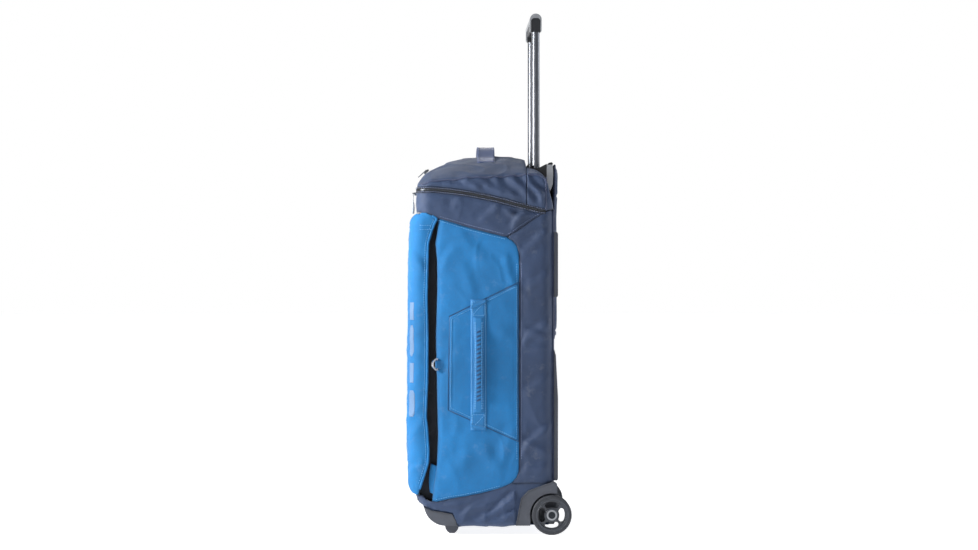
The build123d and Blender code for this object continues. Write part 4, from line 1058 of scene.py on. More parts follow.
class DUFFEL_OT_roof(bpy.types.Operator):
    """Top lid, rear cheeks, roof piping and top handle"""
    bl_idname = "duffel.roof"
    bl_label = "Roof"

    def execute(self, context):
        sizes = context.scene.duffel_sizes
        thick = sizes.cloth * 1000
        grid, edge_line = roof_grid()
        edge = np.minimum(edge_distance(*grid.shape[:2], grid, "lrb"), 500)
        whole = swell_roof(grid, edge, 61)
        lid = cloth_sheet("top_lid_cloth", whole, "shell", thick, seam_shade_weight(edge), (0, -8, 640))
        finish_piece(lid, "top_lid", ["top_lid"])

        low = lambda y: along([(79, 695.4), (119, 685.5), (137, 690)], y)
        cheek, cheek_edge = roof_rows(CHEEK_START - 0.2, 137, 44, low, BAY_HALF + 0.5, 42)
        pipes = {"top_lid": [], "bag": []}
        cheeks = []
        for side, sign in SIDES:
            part = sided(cheek, sign)
            edge = edge_distance(*part.shape[:2], part, "tlr")
            part = swell_roof(part, edge, 61)
            cheeks.append(cloth_sheet(f"rear_cheek_{side}", part, "shell", thick, seam_shade_weight(edge),
                                      (0, -8, 640)))
            for body, line, under in (("top_lid", edge_line[8:], lid), ("bag", cheek_edge[:22], cheeks[-1])):
                drawn = sided(line, sign) + np.array([sign * 20, 0, 20])
                path, _ = Skin(under).lay(drawn, (-sign, 0, -1), 0.9)
                path = rounded(path, max(20, len(line)), 2)
                pinch = 1.7 + 0.5 * value_noise(path[:, 1], path[:, 1] * 0, 11, 8)
                pipes[body].append(tube(f"roof_piping_{body}_{side}", path, pinch, "piping"))
            rise = np.linspace(688, 757, 30)
            drawn = np.column_stack([np.full(30, sign * (HALF - 2.5 + 1.6)), 119.5 + 0.6 * np.sin(rise / 9),
                                     rise])
            pipes["bag"].append(tube(f"cheek_piping_{side}", drawn, 1.9, "piping"))
        strip_x = np.linspace(-BAY_HALF - 2, BAY_HALF + 2, 60)
        strip_z = np.linspace(690, 735, 14)
        x, z = np.meshgrid(strip_x, strip_z)
        strip = np.stack([x, along([(690, BACK), (735, 125)], z), z], 2)
        cheeks.append(cloth_sheet("rear_strip", strip, "shell", thick, None, (0, -8, 700)))
        finish_piece(joined("rear_cheeks_cloth", cheeks), "bag", ["rear_cheeks"])
        for body, found in pipes.items():
            finish_piece(joined(f"roof_piping_{body}", found), body)
        self.add_handle(Skin(lid), sizes)
        return {"FINISHED"}

    def add_handle(self, skin, sizes):
        """The webbing carry handle on the roof, with boxed cross stitching at both ends."""
        low, high = edges_of("top_handle")
        middle, width = (low[1] + high[1]) / 2, high[1] - low[1]
        reach, top = high[0], high[2]
        ends = [(-reach - 22, 0), (-reach, 0), (-reach + 16, 0)]
        path = []
        for x, _ in ends:
            spot, _ = skin.lay([(x, middle, 850)], (0, 0, -1), 1.6)
            path.append((x, middle, spot[0][2]))
        path += [(-52, middle, top - 8), (-30, middle, top - 3.2), (0, middle, top - 1.6)]
        path += [(-x, y, z) for x, y, z in path[-2::-1]]
        line = rounded(path, 90, 10)
        outer = strap("top_handle_webbing", line, (0, 1, 0), width, 2.6, "navy_webbing")
        inner_line = line[8:-8] - np.array([0, 0, 2.2])
        inner = strap("top_handle_inner", inner_line, (0, 1, 0), width - 6, 1.8, "navy_webbing")
        handle = joined("top_handle_webbing", [outer, inner])
        finish_piece(handle, "top_lid", ["top_handle"])
        own = Skin(handle)
        threads = []
        for sign in (-1, 1):
            near, far = sign * (reach - 2), sign * (reach + 19)
            wide = width / 2 - 4
            box = [(near, -wide), (far, -wide), (far, wide), (near, wide), (near, -wide), (far, wide)]
            drawn = [(x, middle + y, 850) for x, y in spread(box, 170)]
            on, up = own.lay(drawn, (0, 0, -1), 0.1)
            threads.append(stitches(f"top_handle_box_{sign}", on, up, "thread_navy", sizes.stitch * 1000))
        for shift in (-1, 1):
            drawn = [(x, middle + shift * (width / 2 - 3), 850) for x in np.linspace(-reach, reach, 120)]
            on, up = own.lay(drawn, (0, 0, -1), 0.1)
            threads.append(stitches(f"top_handle_edge_{shift}", on, up, "thread_navy", sizes.stitch * 1000))
        finish_piece(joined("top_handle_thread", threads), "top_lid")


class DUFFEL_OT_main_lid(bpy.types.Operator):
    """The big front lid with its bound flap edges, print and lining"""
    bl_idname = "duffel.main_lid"
    bl_label = "Main lid"

    def execute(self, context):
        sizes = context.scene.duffel_sizes
        grid = lid_grid()
        edge = edge_distance(*grid.shape[:2], grid)
        puff = puffed(grid, edge, 1.8, 16, LID_CREASES, 1.1, 71)
        face = smooth(-150, -168, grid[..., 1])
        ribs = sum(np.exp(-(((grid[..., 2] - z) / 3.2) ** 2)) for z in (HINGE_Z - 9, HINGE_Z, 150.0))
        puff[..., 1] += face * ribs * 1.4
        puff[..., 0] -= np.sign(puff[..., 0]) * (1 - face) * ribs * 1.0
        lid = cloth_sheet("main_lid_cloth", puff, "panel", 3.6, seam_shade_weight(edge, 2.5), (0, 100, 380))
        finish_piece(lid, None, ["main_lid", "lid_shoulder"])
        skin = Skin(lid)
        trims = self.make_trim(puff, skin, sizes)
        for piece in (lid, *trims):
            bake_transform(piece)
        self.add_print(skin)
        self.add_inside()
        return {"FINISHED"}

    def make_trim(self, grid, skin, sizes):
        """Folded binding down both flap edges, and the rows of thread across the lid."""
        bindings, threads = [], []
        for column, sign in ((-1, 1), (0, -1)):
            line = rounded(grid[6:-8, column], 200, 2)
            path = line + np.array([-sign * 1.2, -1.0, 0])
            bindings.append(tube(f"flap_binding_{sign}", path, 2.7, "panel", 10))
            drawn = line + np.array([0, -6.5, 0])
            drawn[:, 0] = sign * (HALF + 30)
            on, up = skin.lay(drawn[4:-4], (-sign, 0, 0), 0.1)
            threads.append(stitches("flap_thread", on, up, "thread_blue", sizes.stitch * 1000))
            for z in (HINGE_Z - 9, HINGE_Z):
                y = np.linspace(-122, -150, 16)
                drawn = np.column_stack([np.full(16, sign * (HALF + 30)), y, np.full(16, z)])
                on, up = skin.lay(drawn, (-sign, 0, 0), 0.1)
                threads.append(stitches("flap_thread", on, up, "thread_blue", sizes.stitch * 1000))
        for z in (HINGE_Z - 9, HINGE_Z, 150.0):
            x = np.linspace(-162, 162, 110)
            drawn = np.column_stack([x, np.full(110, -230), np.full(110, z)])
            on, up = skin.lay(drawn, (0, 1, 0), 0.1)
            threads.append(stitches("lid_thread", on, up, "thread_blue", sizes.stitch * 1000))
        binding = joined("flap_binding", bindings)
        thread = joined("lid_thread", threads)
        finish_piece(binding, None)
        finish_piece(thread, None)
        return binding, thread

    def add_print(self, skin):
        """Plain printed bars down the lid's two front corners."""
        bars = []
        for sign in (-1, 1):
            turn = radians(42)
            way = Vector((-sign * cos(turn), sin(turn), 0))
            spans = ((455, 492, 6), (378, 444, 6), (322, 364, 6), (250, 306, 8))
            for k, (low, high, half) in enumerate(spans):
                cells = np.linspace(-1, 1, 12), np.linspace(low, high, 24)
                a, z = np.meshgrid(*cells)
                from_middle = np.abs((z - (low + high) / 2) / ((high - low) / 2))
                taper = half - 3 * smooth(0.7, 1.0, from_middle) * (k % 2)
                a = a * taper
                centre = np.array([sign * 176.0, -157.0])
                side_way = np.array([sign * sin(turn), cos(turn)])
                flat = np.stack([centre[0] + side_way[0] * a, centre[1] + side_way[1] * a, z], 2)
                on, _ = skin.lay(flat.reshape(-1, 3), way, 0.25)
                bars.append(cloth_sheet(f"print_bar_{sign}_{k}", on.reshape(24, 12, 3), "print", 0.5, None,
                                        (0, 0, 380)))
        finish_piece(joined("lid_print_bars", bars), "main_lid")

    def add_inside(self):
        """The lid's pale lining, closed to the zip tape on its sides and foot."""
        tape = edges_of("main_zip_lid_half")
        seam_shade, low, high = edges_of("main_lid")[1][0] - 33, tape[0][2] + 9, HINGE_Z - 8
        rows, cols = 90, 80
        z = np.linspace(low, high, rows)
        path = spread([(seam_shade, -153, 0), (seam_shade + 1, -164, 0), (-seam_shade - 1, -164, 0), (-seam_shade, -153, 0)], cols)
        grid = np.stack([np.broadcast_to(path[:, 0], (rows, cols)), np.broadcast_to(path[:, 1], (rows, cols)),
                         np.broadcast_to(z[:, None], (rows, cols))], 2).copy()
        flat = np.abs(grid[..., 0]) < seam_shade - 6
        grid[..., 1] += flat * 1.6 * (crumple(grid[..., 0], grid[..., 2], 60, 91) - 0.3)
        lining = cloth_sheet("main_lid_lining", grid, "lining", 1.2, None, (0, -300, 380))
        x, y = np.meshgrid(np.linspace(-seam_shade, seam_shade, 40), np.linspace(-165, -153, 6))
        foot = np.stack([x, y, np.full((6, 40), low)], 2)
        foot_sheet = cloth_sheet("main_lid_lining_foot", foot, "lining", 1.2, None, (0, 0, 400))
        finish_piece(joined("main_lid_lining", [lining, foot_sheet]), "main_lid")


class DUFFEL_OT_gap_and_lining(bpy.types.Operator):
    """Recessed zip gussets beside the lid, and the compartment's lining"""
    bl_idname = "duffel.gap_and_lining"
    bl_label = "Gap and lining"

    def execute(self, context):
        gussets = []
        for side, sign in SIDES:
            z = np.linspace(72, 668, 130)
            edge = along(GAP_EDGE, z)
            rows = []
            for height, back in zip(z, edge):
                ripple = 1.6 * np.sin(height / 17.0) + 1.2 * np.sin(height / 7.3 + 1)
                rows.append(rounded([
                    (HALF - 2.2, back + 2.5, height), (HALF - 8, back + 1, height),
                    (HALF - 17, back - 1 + 0.4 * ripple, height), (172 + 0.5 * ripple, back - 9, height),
                    (170.5 + 0.3 * ripple, -136, height), (171, -152.2, height)], 22, 2))
            grid = sided(np.array(rows), sign)
            gussets.append(cloth_sheet(f"zip_gusset_{side}", grid, "tape", 1.6, None, (0, -130, 380)))
            flange = np.array([[(168.0, -108.5, h), (176.0, -107.5, h), (HALF - 4.0, -107.0, h)] for h in z])
            gussets.append(cloth_sheet(f"zip_flange_{side}", sided(flange, sign), "tape", 1.6, None,
                                       (0, 0, 380)))
        finish_piece(joined("zip_gusset_cloth", gussets), "bag", ["zip_gussets"])
        self.add_fold()
        self.add_lining()
        return {"FINISHED"}

    def add_fold(self):
        """The blue fold where each side panel's front edge turns in at the foot of the gap."""
        made = []
        for side, sign in SIDES:
            rows = []
            for t in np.linspace(0, 1, 30):
                z = 84 + 62 * t
                bulge = np.sin(pi * t) ** 0.6
                rows.append(rounded([
                    (HALF - 3, -112 - 3 * (1 - t), z), (HALF - 3 - 2 * bulge, -119 - 4 * bulge, z + 3),
                    (HALF - 8, -125 - 5 * bulge + 3 * t, z + 5),
                    (HALF - 15, -124 - 2 * bulge, z + 4)], 14, 2))
            made.append(cloth_sheet(f"foot_fold_{side}", sided(np.array(rows), sign), "panel", 2.0, None,
                                    (0, -118, 110)))
        finish_piece(joined("gap_foot_fold", made), "bag")

    def add_lining(self):
        """Thin loose lining on the walls and floor of the main compartment."""
        rows, cols = 90, 150
        path = rounded([(172, -106), (180, -104), (180, 60), (176, 76), (-176, 76), (-180, 60), (-180, -104),
                        (-172, -106)],
                       cols, 2)
        z = np.linspace(34, 664, rows)
        grid = np.zeros((rows, cols, 3))
        grid[..., 0], grid[..., 1], grid[..., 2] = path[:, 0], path[:, 1], z[:, None]
        run = np.cumsum(np.r_[0, np.linalg.norm(np.diff(path, axis=0), axis=1)])
        inward = normals_of(grid)
        if np.mean((inward * (grid - np.array([0, -10, 350]))).sum(2)) > 0:
            inward = -inward
        ripple = 3.0 * crumple(run[None] + 0 * z[:, None], z[:, None] + 0 * run[None], 70, 101)
        walls = cloth_sheet("lining_walls", grid + inward * ripple[..., None], "lining", 1.2, None,
                            (0, -10, 350))
        x, y = np.meshgrid(np.linspace(-146, 146, 70), np.linspace(-104, 74, 44))
        floor = np.stack([x, y, 31.5 + 2.2 * crumple(x, y, 60, 105)], 2)
        floor_sheet = cloth_sheet("lining_floor", floor, "lining", 1.2, None, (0, 0, -400))
        finish_piece(joined("main_lining", [walls, floor_sheet]), "bag")
        low, high = edges_of("pocket_divider")
        x, y = np.meshgrid(np.linspace(low[0], high[0], 90), np.linspace(low[1], high[1], 56))
        sag = 2.4 * crumple(x, y, 55, 109) + 0.6 * value_noise(x, y, 18, 111)
        shelf = np.stack([x, y, high[2] + sag], 2)
        shelf_sheet = cloth_sheet("top_pocket_floor_cloth", shelf, "lining", 2.6, None, (0, 0, -400))
        finish_piece(shelf_sheet, "bag", ["pocket_divider"])


class DUFFEL_OT_zips(bpy.types.Operator):
    """Top zip band, main zip teeth and hanging pulls"""
    bl_idname = "duffel.zips"
    bl_label = "Zips"

    def execute(self, context):
        sizes = context.scene.duffel_sizes
        s = np.linspace(-1, 1, 300) * run_to(118.5, 700)
        ring = section(s, np.full(300, 700.0))
        line = along(ZIP_LINE, ring[:, 1])
        t = np.linspace(0, 1, 9)[:, None]
        z = line - ZIP_WIDTH / 2 - 0.6 + t * (ZIP_WIDTH + 1.2)
        grid = section(np.broadcast_to(s, z.shape), z)
        n = normals_of(grid)
        n = n * np.sign((n * (grid - np.array([0, -8, 700]))).sum(2))[..., None]
        bead = 0.9 * np.exp(-(((t - 0.12) / 0.08) ** 2)) + 0.9 * np.exp(-(((t - 0.88) / 0.08) ** 2))
        raised = grid + n * (0.4 * belly(grid[..., 1], grid[..., 2]) + 1.2 + bead)[..., None]
        tape = cloth_sheet("top_zip_tape", raised, "tape", 1.4, None, (0, -8, 700))
        middle, out = raised[4], n[4]
        up = np.gradient(raised, axis=0)[4]
        teeth_row = teeth("top_zip_teeth", middle[6:-6], out[6:-6], up[6:-6], "slider", 2.6, (3.4, 1.3, 1.4))
        lines = []
        for k, row in enumerate((1, 7)):
            lines.append(stitches(f"top_zip_thread_{k}", raised[row] + 0.3 * n[row], n[row], "thread_navy",
                                  sizes.stitch * 1000))
        finish_piece(tape, "bag", ["top_zip"])
        finish_piece(teeth_row, "bag")
        finish_piece(joined("top_zip_thread", lines), "bag")
        self.add_main_teeth()
        self.add_pulls()
        return {"FINISHED"}

    def add_main_teeth(self):
        """Teeth down both legs of the main zip: one row on the bag and one on the lid."""
        low, high = edges_of("main_zip_lid_half")
        face, run_up = low[1], (low[2] + 2, high[2] - 2)
        for body, shift in (("bag", 0.9), ("main_lid", -0.9)):
            rows = []
            for sign in (1, -1):
                x = sign * (high[0] + 0.2 + shift)
                path = np.array([(x, face - 0.1, z) for z in np.linspace(*run_up, 60)])
                rows.append(teeth("row", path, (0, -1, 0), (1, 0, 0), "slider", 3.0, (1.6, 1.2, 1.5)))
            finish_piece(joined(f"main_zip_teeth_{body}", rows), body)

    def add_pulls(self):
        """Moulded pulls: a thin loop over the slider's bar and a ribbed grip."""
        for side in ("left", "right"):
            low, high = edges_of(f"top_pull_{side}")
            x, y = (low[0] + high[0]) / 2, (low[1] + high[1]) / 2
            pin = high[2] - 2.3
            grip_top = pin - 19.6
            half = 2.4
            loop = [(x - half, y, grip_top - 2), (x - half, y, pin - 5), (x - half * 0.8, y, pin - 0.6),
                    (x, y, pin + 1.2),
                    (x + half * 0.8, y, pin - 0.6), (x + half, y, pin - 5), (x + half, y, grip_top - 2)]
            cord = tube(f"top_pull_{side}_loop", rounded(loop, 40, 4), 0.85, "pull", 8)
            z = np.linspace(low[2] + 0.6, grip_top, 40)
            t = (z - z[0]) / (z[-1] - z[0])
            swell = 3.2 * np.clip(np.sin(pi * np.clip(t * 0.92 + 0.06, 0, 1)), 0.05, 1) ** 0.3
            swell = swell - 0.5 * (np.cos(2 * pi * t * 6) > 0.55) * (t > 0.12) * (t < 0.75)
            path = np.column_stack([np.full(40, x), np.full(40, y), z])
            grip = tube(f"top_pull_{side}_grip", path, swell, "pull", 16, 0.8, across=(1, 0, 0))
            finish_piece(joined(f"top_pull_{side}_moulded", [cord, grip]), f"top_pull_{side}",
                         [f"top_pull_{side}"])


class DUFFEL_OT_side_handles(bpy.types.Operator):
    """Long sewn straps with padded carry grips, and the ring tabs"""
    bl_idname = "duffel.side_handles"
    bl_label = "Side handles"

    def execute(self, context):
        sizes = context.scene.duffel_sizes
        low, high = edges_of("side_straps")
        middle, width = (low[1] + high[1]) / 2, high[1] - low[1]
        grip_low, grip_high = edges_of("side_grip_right")
        for side, sign in SIDES:
            patch = Skin(bpy.data.objects[f"side_patch_{side}_cloth"],
                         bpy.data.objects[f"side_panel_{side}_cloth"])
            z = np.linspace(low[2], high[2], 130)
            drawn = np.column_stack([np.full(130, sign * (HALF + 20)), np.full(130, middle), z])
            on, _ = patch.lay(drawn, (-sign, 0, 0), 0.9)
            on[:, 0] = sign * np.maximum(np.abs(rounded(on, 130, 30)[:, 0]), np.abs(on[:, 0]) - 0.3)
            base = strap(f"side_strap_{side}", on, (0, sign, 0), width, 1.6, "blue_webbing")
            finish_piece(base, "bag", ["side_straps"])
            self.add_grip(side, sign, on, (grip_low[2], grip_high[2]), middle, sizes)
            self.add_ends(side, sign, (base, on), middle, width, (low[2], high[2]), sizes)
            self.add_ring_tab(side, sign)
        return {"FINISHED"}

    def add_grip(self, side, sign, base, span_z, middle, sizes):
        """The padded grip: a rounded sleeve standing off the strap, with a band of plain marks down it."""
        z = np.linspace(span_z[0], span_z[1], 110)
        t = (z - z[0]) / (z[-1] - z[0])
        rise = smooth(0.06, 0.24, t) * smooth(0.94, 0.76, t)
        skin = np.interp(z, base[:, 2], np.abs(base[:, 0]))
        x = skin + 1.6 + rise * 6.4
        half = 10.5 - 1.4 * rise
        outline = [(-1, -0.5), (-1.04, 0.05), (-0.93, 0.55), (-0.78, 0.82), (-0.74, 1.25), (-0.4, 1.5),
                   (0, 1.56),
                   (0.4, 1.5), (0.74, 1.25), (0.78, 0.82), (0.93, 0.55), (1.04, 0.05), (1, -0.5), (0, -0.62)]
        wave = 1 + 0.03 * np.sin(z / 6)
        points = np.stack([np.stack([sign * (x + b * (1.0 + 1.5 * rise)), middle + a * half * wave, z], 1)
                           for a, b in outline], 1)
        n = len(outline)
        faces = grid_faces(len(z), n, ring=True, flip=sign < 0)
        ends = [tuple(range(n))[::-1], tuple((len(z) - 1) * n + k for k in range(n))]
        faces += [f[::-1] if sign < 0 else f for f in ends]
        sleeve = put_mesh(f"side_grip_{side}_sleeve", points.reshape(-1, 3), faces, "blue_webbing")
        finish_piece(sleeve, "bag", [f"side_grip_{side}"])
        own = Skin(sleeve)
        threads, marks = [], []
        for shift in (-8.8, -6.4, 6.4, 8.8):
            drawn = np.column_stack([np.full(100, sign * (HALF + 40)), np.full(100, middle + shift),
                                     np.linspace(span_z[0] + 6, span_z[1] - 6, 100)])
            on, up = own.lay(drawn, (-sign, 0, 0), 0.1)
            threads.append(stitches("grip_thread", on, up, "thread_blue", sizes.stitch * 1000))
        for k, height in enumerate(np.arange(span_z[0] + 26, span_z[1] - 22, 9.0)):
            a, b = np.meshgrid(np.linspace(-4.4, 4.4, 5), np.linspace(-2.0, 2.0, 4))
            flat = np.stack([np.full_like(a, sign * (HALF + 40)), middle + a, height + b + 0.4 * a], 2)
            on, _ = own.lay(flat.reshape(-1, 3), (-sign, 0, 0), 0.2)
            marks.append(cloth_sheet("grip_mark", on.reshape(4, 5, 3), "seam_blue", 0.5, None,
                                     (0, middle, height)))
        finish_piece(joined(f"side_grip_{side}_thread", threads), "bag")
        finish_piece(joined(f"side_grip_{side}_marks", marks), "bag")

    def add_ends(self, side, sign, base, middle, width, span_z, sizes):
        """Boxed cross stitching and the folded end tabs of the sewn strap."""
        own, line = Skin(base[0]), base[1]
        threads, tabs = [], []
        for low, high in ((span_z[0] + 5, span_z[0] + 33), (span_z[1] - 33, span_z[1] - 5)):
            w = width / 2 - 4
            box = [(-w, low), (w, low), (w, high), (-w, high), (-w, low), (w, high)]
            drawn = [(sign * (HALF + 40), middle + y, z) for y, z in spread(box, 190)]
            on, up = own.lay(drawn, (-sign, 0, 0), 0.1)
            threads.append(stitches("strap_box", on, up, "thread_blue", sizes.stitch * 1000))
        for shift in (-width / 2 + 2.5, width / 2 - 2.5):
            drawn = np.column_stack([np.full(160, sign * (HALF + 40)), np.full(160, middle + shift),
                                     np.linspace(span_z[0] + 3, span_z[1] - 3, 160)])
            on, up = own.lay(drawn, (-sign, 0, 0), 0.1)
            threads.append(stitches("strap_edge", on, up, "thread_blue", sizes.stitch * 1000))
        for z, lean in ((span_z[0] + 6, -0.2), (span_z[1] - 9, 0.45)):
            y = np.linspace(-width / 2 + 1, width / 2 - 1, 14)
            out = np.interp(z, line[:, 2], np.abs(line[:, 0])) + 1.6
            on = np.column_stack([np.full(14, sign * out), middle + y, z + lean * y])
            tabs.append(strap("strap_end", on, (0, 0, 1), 7, 1.5, "blue_webbing"))
        finish_piece(joined(f"side_strap_{side}_thread", threads), "bag")
        finish_piece(joined(f"side_strap_{side}_ends", tabs), "bag")

    def add_ring_tab(self, side, sign):
        """A doubled webbing tab looped round the ring's bar."""
        low, high = edges_of("ring_tabs")
        centre_y, bar_x, height = low[1] + 3.4, high[0] - 3.4, (low[2] + high[2]) / 2
        turns = np.linspace(-0.35 * pi, 1.25 * pi, 22)
        loop = [(bar_x - 3.1 * sin(a), centre_y - 3.1 * cos(a)) for a in turns[::-1]]
        path = [(HALF + 0.9, high[1] + 2), (HALF + 0.9, centre_y + 5), *loop, (HALF + 2.3, centre_y + 8),
                (HALF + 2.2, high[1])]
        line = rounded([(sign * x, y, height) for x, y in path], 90, 2)
        tab = strap(f"ring_tab_{side}_webbing", line, (0, 0, 1), high[2] - low[2], 1.3, "blue_webbing")
        finish_piece(tab, "bag", ["ring_tabs"])


class DUFFEL_OT_back_pad(bpy.types.Operator):
    """The padded back panel that stands behind the grip bay"""
    bl_idname = "duffel.back_pad"
    bl_label = "Back pad"

    def execute(self, context):
        low, high = edges_of("back_pad")
        half, foot, top = high[0] - 3, low[2] + 3, high[2] - 3
        rows, cols = 90, 64
        z, x = np.meshgrid(np.linspace(foot, top, rows), np.linspace(-half, half, cols), indexing="ij")
        corner = 16.0
        over = np.clip(np.maximum(foot + corner - z, z - top + corner), 0, corner)
        x = x * (half - corner + np.sqrt(corner ** 2 - over ** 2)) / half
        back = BACK + 4.4 + 2.0 * smooth(690, 760, z)
        outer = np.stack([x, back, z], 2)
        pad = cloth_sheet("back_pad_cloth", outer, "shell", 4.6, None, (0, -8, 600))
        self.inflate(pad, 4.2)
        self.sew_channels(pad, half, foot, top)
        self.paint_seam(pad)
        pad.data.polygons.foreach_set("use_smooth", np.ones(len(pad.data.polygons), bool))
        finish_piece(pad, "bag", ["back_pad"])
        edge = rounded([(-half, foot + 12), (-half, top - 12), (-half + 12, top), (half - 12, top),
                        (half, top - 12),
                        (half, foot + 12), (half - 12, foot), (-half + 12, foot), (-half, foot + 12)], 420, 4)
        y = BACK + 2.2 + 2.0 * smooth(690, 760, edge[:, 1])
        path = np.column_stack([edge[:, 0], y, edge[:, 1]])
        rim = tube("back_pad_piping", path[:-1], 2.0, "piping", 8, ring=True)
        finish_piece(rim, "bag")
        return {"FINISHED"}

    def inflate(self, pad, cap):
        """Remeshes the pad and swells it by cloth pressure, each point moving cap millimetres at most."""
        bpy.ops.object.select_all(action="DESELECT")
        bpy.context.view_layer.objects.active = pad
        pad.select_set(True)
        remesh = pad.modifiers.new("remesh", "REMESH")
        remesh.mode, remesh.voxel_size = "VOXEL", 0.0034
        bpy.ops.object.modifier_apply(modifier="remesh")
        start = np.array([v.co for v in pad.data.vertices])
        cloth = pad.modifiers.new("cloth", "CLOTH")
        cloth.settings.use_pressure = True
        cloth.settings.uniform_pressure_force = 4.0
        cloth.settings.effector_weights.gravity = 0.0
        cloth.settings.quality = 5
        cloth.point_cache.frame_start, cloth.point_cache.frame_end = 1, 20
        for step in range(1, 21):
            bpy.context.scene.frame_set(step)
        bpy.ops.object.modifier_apply(modifier="cloth")
        bpy.context.scene.frame_set(1)
        now = np.array([v.co for v in pad.data.vertices])
        move = now - start
        far = np.maximum(np.linalg.norm(move, axis=1, keepdims=True), 1e-9)
        move *= np.minimum(1, cap / 1000 / far)
        kept = start + move
        kept[:, 1] = np.maximum(kept[:, 1], (BACK + 0.3) / 1000)
        pad.data.vertices.foreach_set("co", kept.astype(np.float32).ravel())
        pad.data.update()

    def sew_channels(self, pad, half, foot, top):
        """Presses the sewn channels into the pad's back face."""
        co = np.array([v.co for v in pad.data.vertices]) * 1000
        outer = smooth(BACK + 2, BACK + 4.5, co[:, 1])
        groove = sum(np.exp(-(((co[:, 0] - x) / 3.0) ** 2)) for x in (-half * 0.42, half * 0.42))
        groove = groove * smooth(foot + 10, foot + 24, co[:, 2]) * smooth(top - 60, top - 74, co[:, 2])
        cross = sum(np.exp(-(((co[:, 2] - z) / 3.0) ** 2)) for z in (top - 66, foot + 18))
        dent = np.clip(groove + cross * smooth(half - 2, half - 12, np.abs(co[:, 0])), 0, 1)
        crown = 0.8 * value_noise(co[:, 0], co[:, 2], 24, 131)
        co[:, 1] += outer * (crown - 2.6 * dent)
        pad.data.vertices.foreach_set("co", (co / 1000).astype(np.float32).ravel())
        pad.data.update()

    def paint_seam(self, pad):
        """Gives the remeshed pad its cloth coordinates again."""
        co = np.array([v.co for v in pad.data.vertices])
        for name, kind, values in (("cloth", "FLOAT_VECTOR", np.stack([co[:, 0], co[:, 2], 0 * co[:, 0]], 1)),
                                   ("seam_shade", "FLOAT", np.zeros(len(co)))):
            layer = pad.data.attributes.get(name) or pad.data.attributes.new(name, kind, "POINT")
            entry = "vector" if kind == "FLOAT_VECTOR" else "value"
            layer.data.foreach_set(entry, values.astype(np.float32).ravel())


class DUFFEL_OT_hard_parts(bpy.types.Operator):
    """Finishes for the moulded and metal parts, and the small details on them"""
    bl_idname = "duffel.hard_parts"
    bl_label = "Hard parts"

    def execute(self, context):
        slots = {p["node"]: p["material_slot"] for p in frame["record"]["subparts"]}
        for name, node in frame["nodes"].items():
            node.data.materials.clear()
            node.data.materials.append(MADE["dark_steel" if name == "axles" else SLOT_FINISH[slots[name]]])
        self.add_tread()
        self.add_guard_rims()
        self.add_grip_ribs()
        return {"FINISHED"}

    def add_tread(self):
        """Shallow pads round each tyre and thin beads round each rim."""
        for side, sign in SIDES:
            low, high = edges_of(f"wheel_tyre_{side}")
            centre = (low + high) / 2
            radius = (high[2] - low[2]) / 2
            points, faces = [], []
            for k in range(40):
                angle = 2 * pi * k / 40
                for part in (-1, 1):
                    base = len(points)
                    for lift in (-0.5, 0.35):
                        for a, x in ((-0.05, 1.0), (0.05, 1.0), (0.05, 8.0), (-0.05, 8.0)):
                            turn = angle + a + part * (x - 4) * 0.006
                            reach = radius + lift
                            points.append(centre + np.array([part * x, reach * cos(turn), reach * sin(turn)]))
                    quads = grid_faces(2, 4, base, ring=True)
                    quads += [(base + 3, base + 2, base + 1, base), (base + 4, base + 5, base + 6, base + 7)]
                    faces += [q[::-1] for q in quads] if part > 0 else quads
            pads = put_mesh(f"tyre_pads_{side}", np.array(points), faces, "tread", shade=False)
            finish_piece(pads, f"wheel_{side}")
            turns = np.linspace(0, 2 * pi, 64, endpoint=False)
            out = sign * ((high[0] - low[0]) / 2 - 1.0)
            rings = []
            for reach, size in ((30.6, 0.7), (13.2, 0.6), (35.6, 0.6)):
                path = centre + np.column_stack([np.full(64, out), reach * np.cos(turns),
                                                 reach * np.sin(turns)])
                rings.append(tube("rim_bead", path, size, "hub", 8, ring=True, across=(1, 0, 0)))
            finish_piece(joined(f"rim_beads_{side}", rings), f"wheel_{side}")

    def add_guard_rims(self):
        """A paler moulded bead along each corner guard's upper edge and each housing's front edge."""
        rims = []
        for _, sign in SIDES:
            line = rounded(GUARD_TOP[1:], 60, 1)
            path = np.column_stack([np.full(60, sign * (HALF + 0.6)), line])
            rims.append(tube("guard_rim", path[2:], 1.1, "hub", 8))
            lip = rounded(HOUSING_TOP, 90, 1)
            edge = edges_of("wheel_housings")[1][0]
            rims.append(tube("housing_rim", np.column_stack([np.full(90, sign * (edge + 0.1)), lip]), 1.0,
                             "guard", 8))
        finish_piece(joined("guard_and_housing_rims", rims), "bag")

    def add_grip_ribs(self):
        """Finger ribs under the pull-out grip."""
        low, high = edges_of("grip_core")
        ribs = []
        middle_y = (low[1] + high[1]) / 2
        foot = low[2] + 9
        for x in np.linspace(-84, 84, 29):
            path = [(x, low[1] + 1.5, foot + 2.2), (x, low[1] + 2.5, foot + 0.2), (x, middle_y, foot - 0.3),
                    (x, high[1] - 2.5, foot + 0.2), (x, high[1] - 1.5, foot + 2.2)]
            ribs.append(tube("grip_rib", rounded(path, 14, 1), 0.9, "black", 6))
        finish_piece(joined("grip_ribs", ribs), "handle")


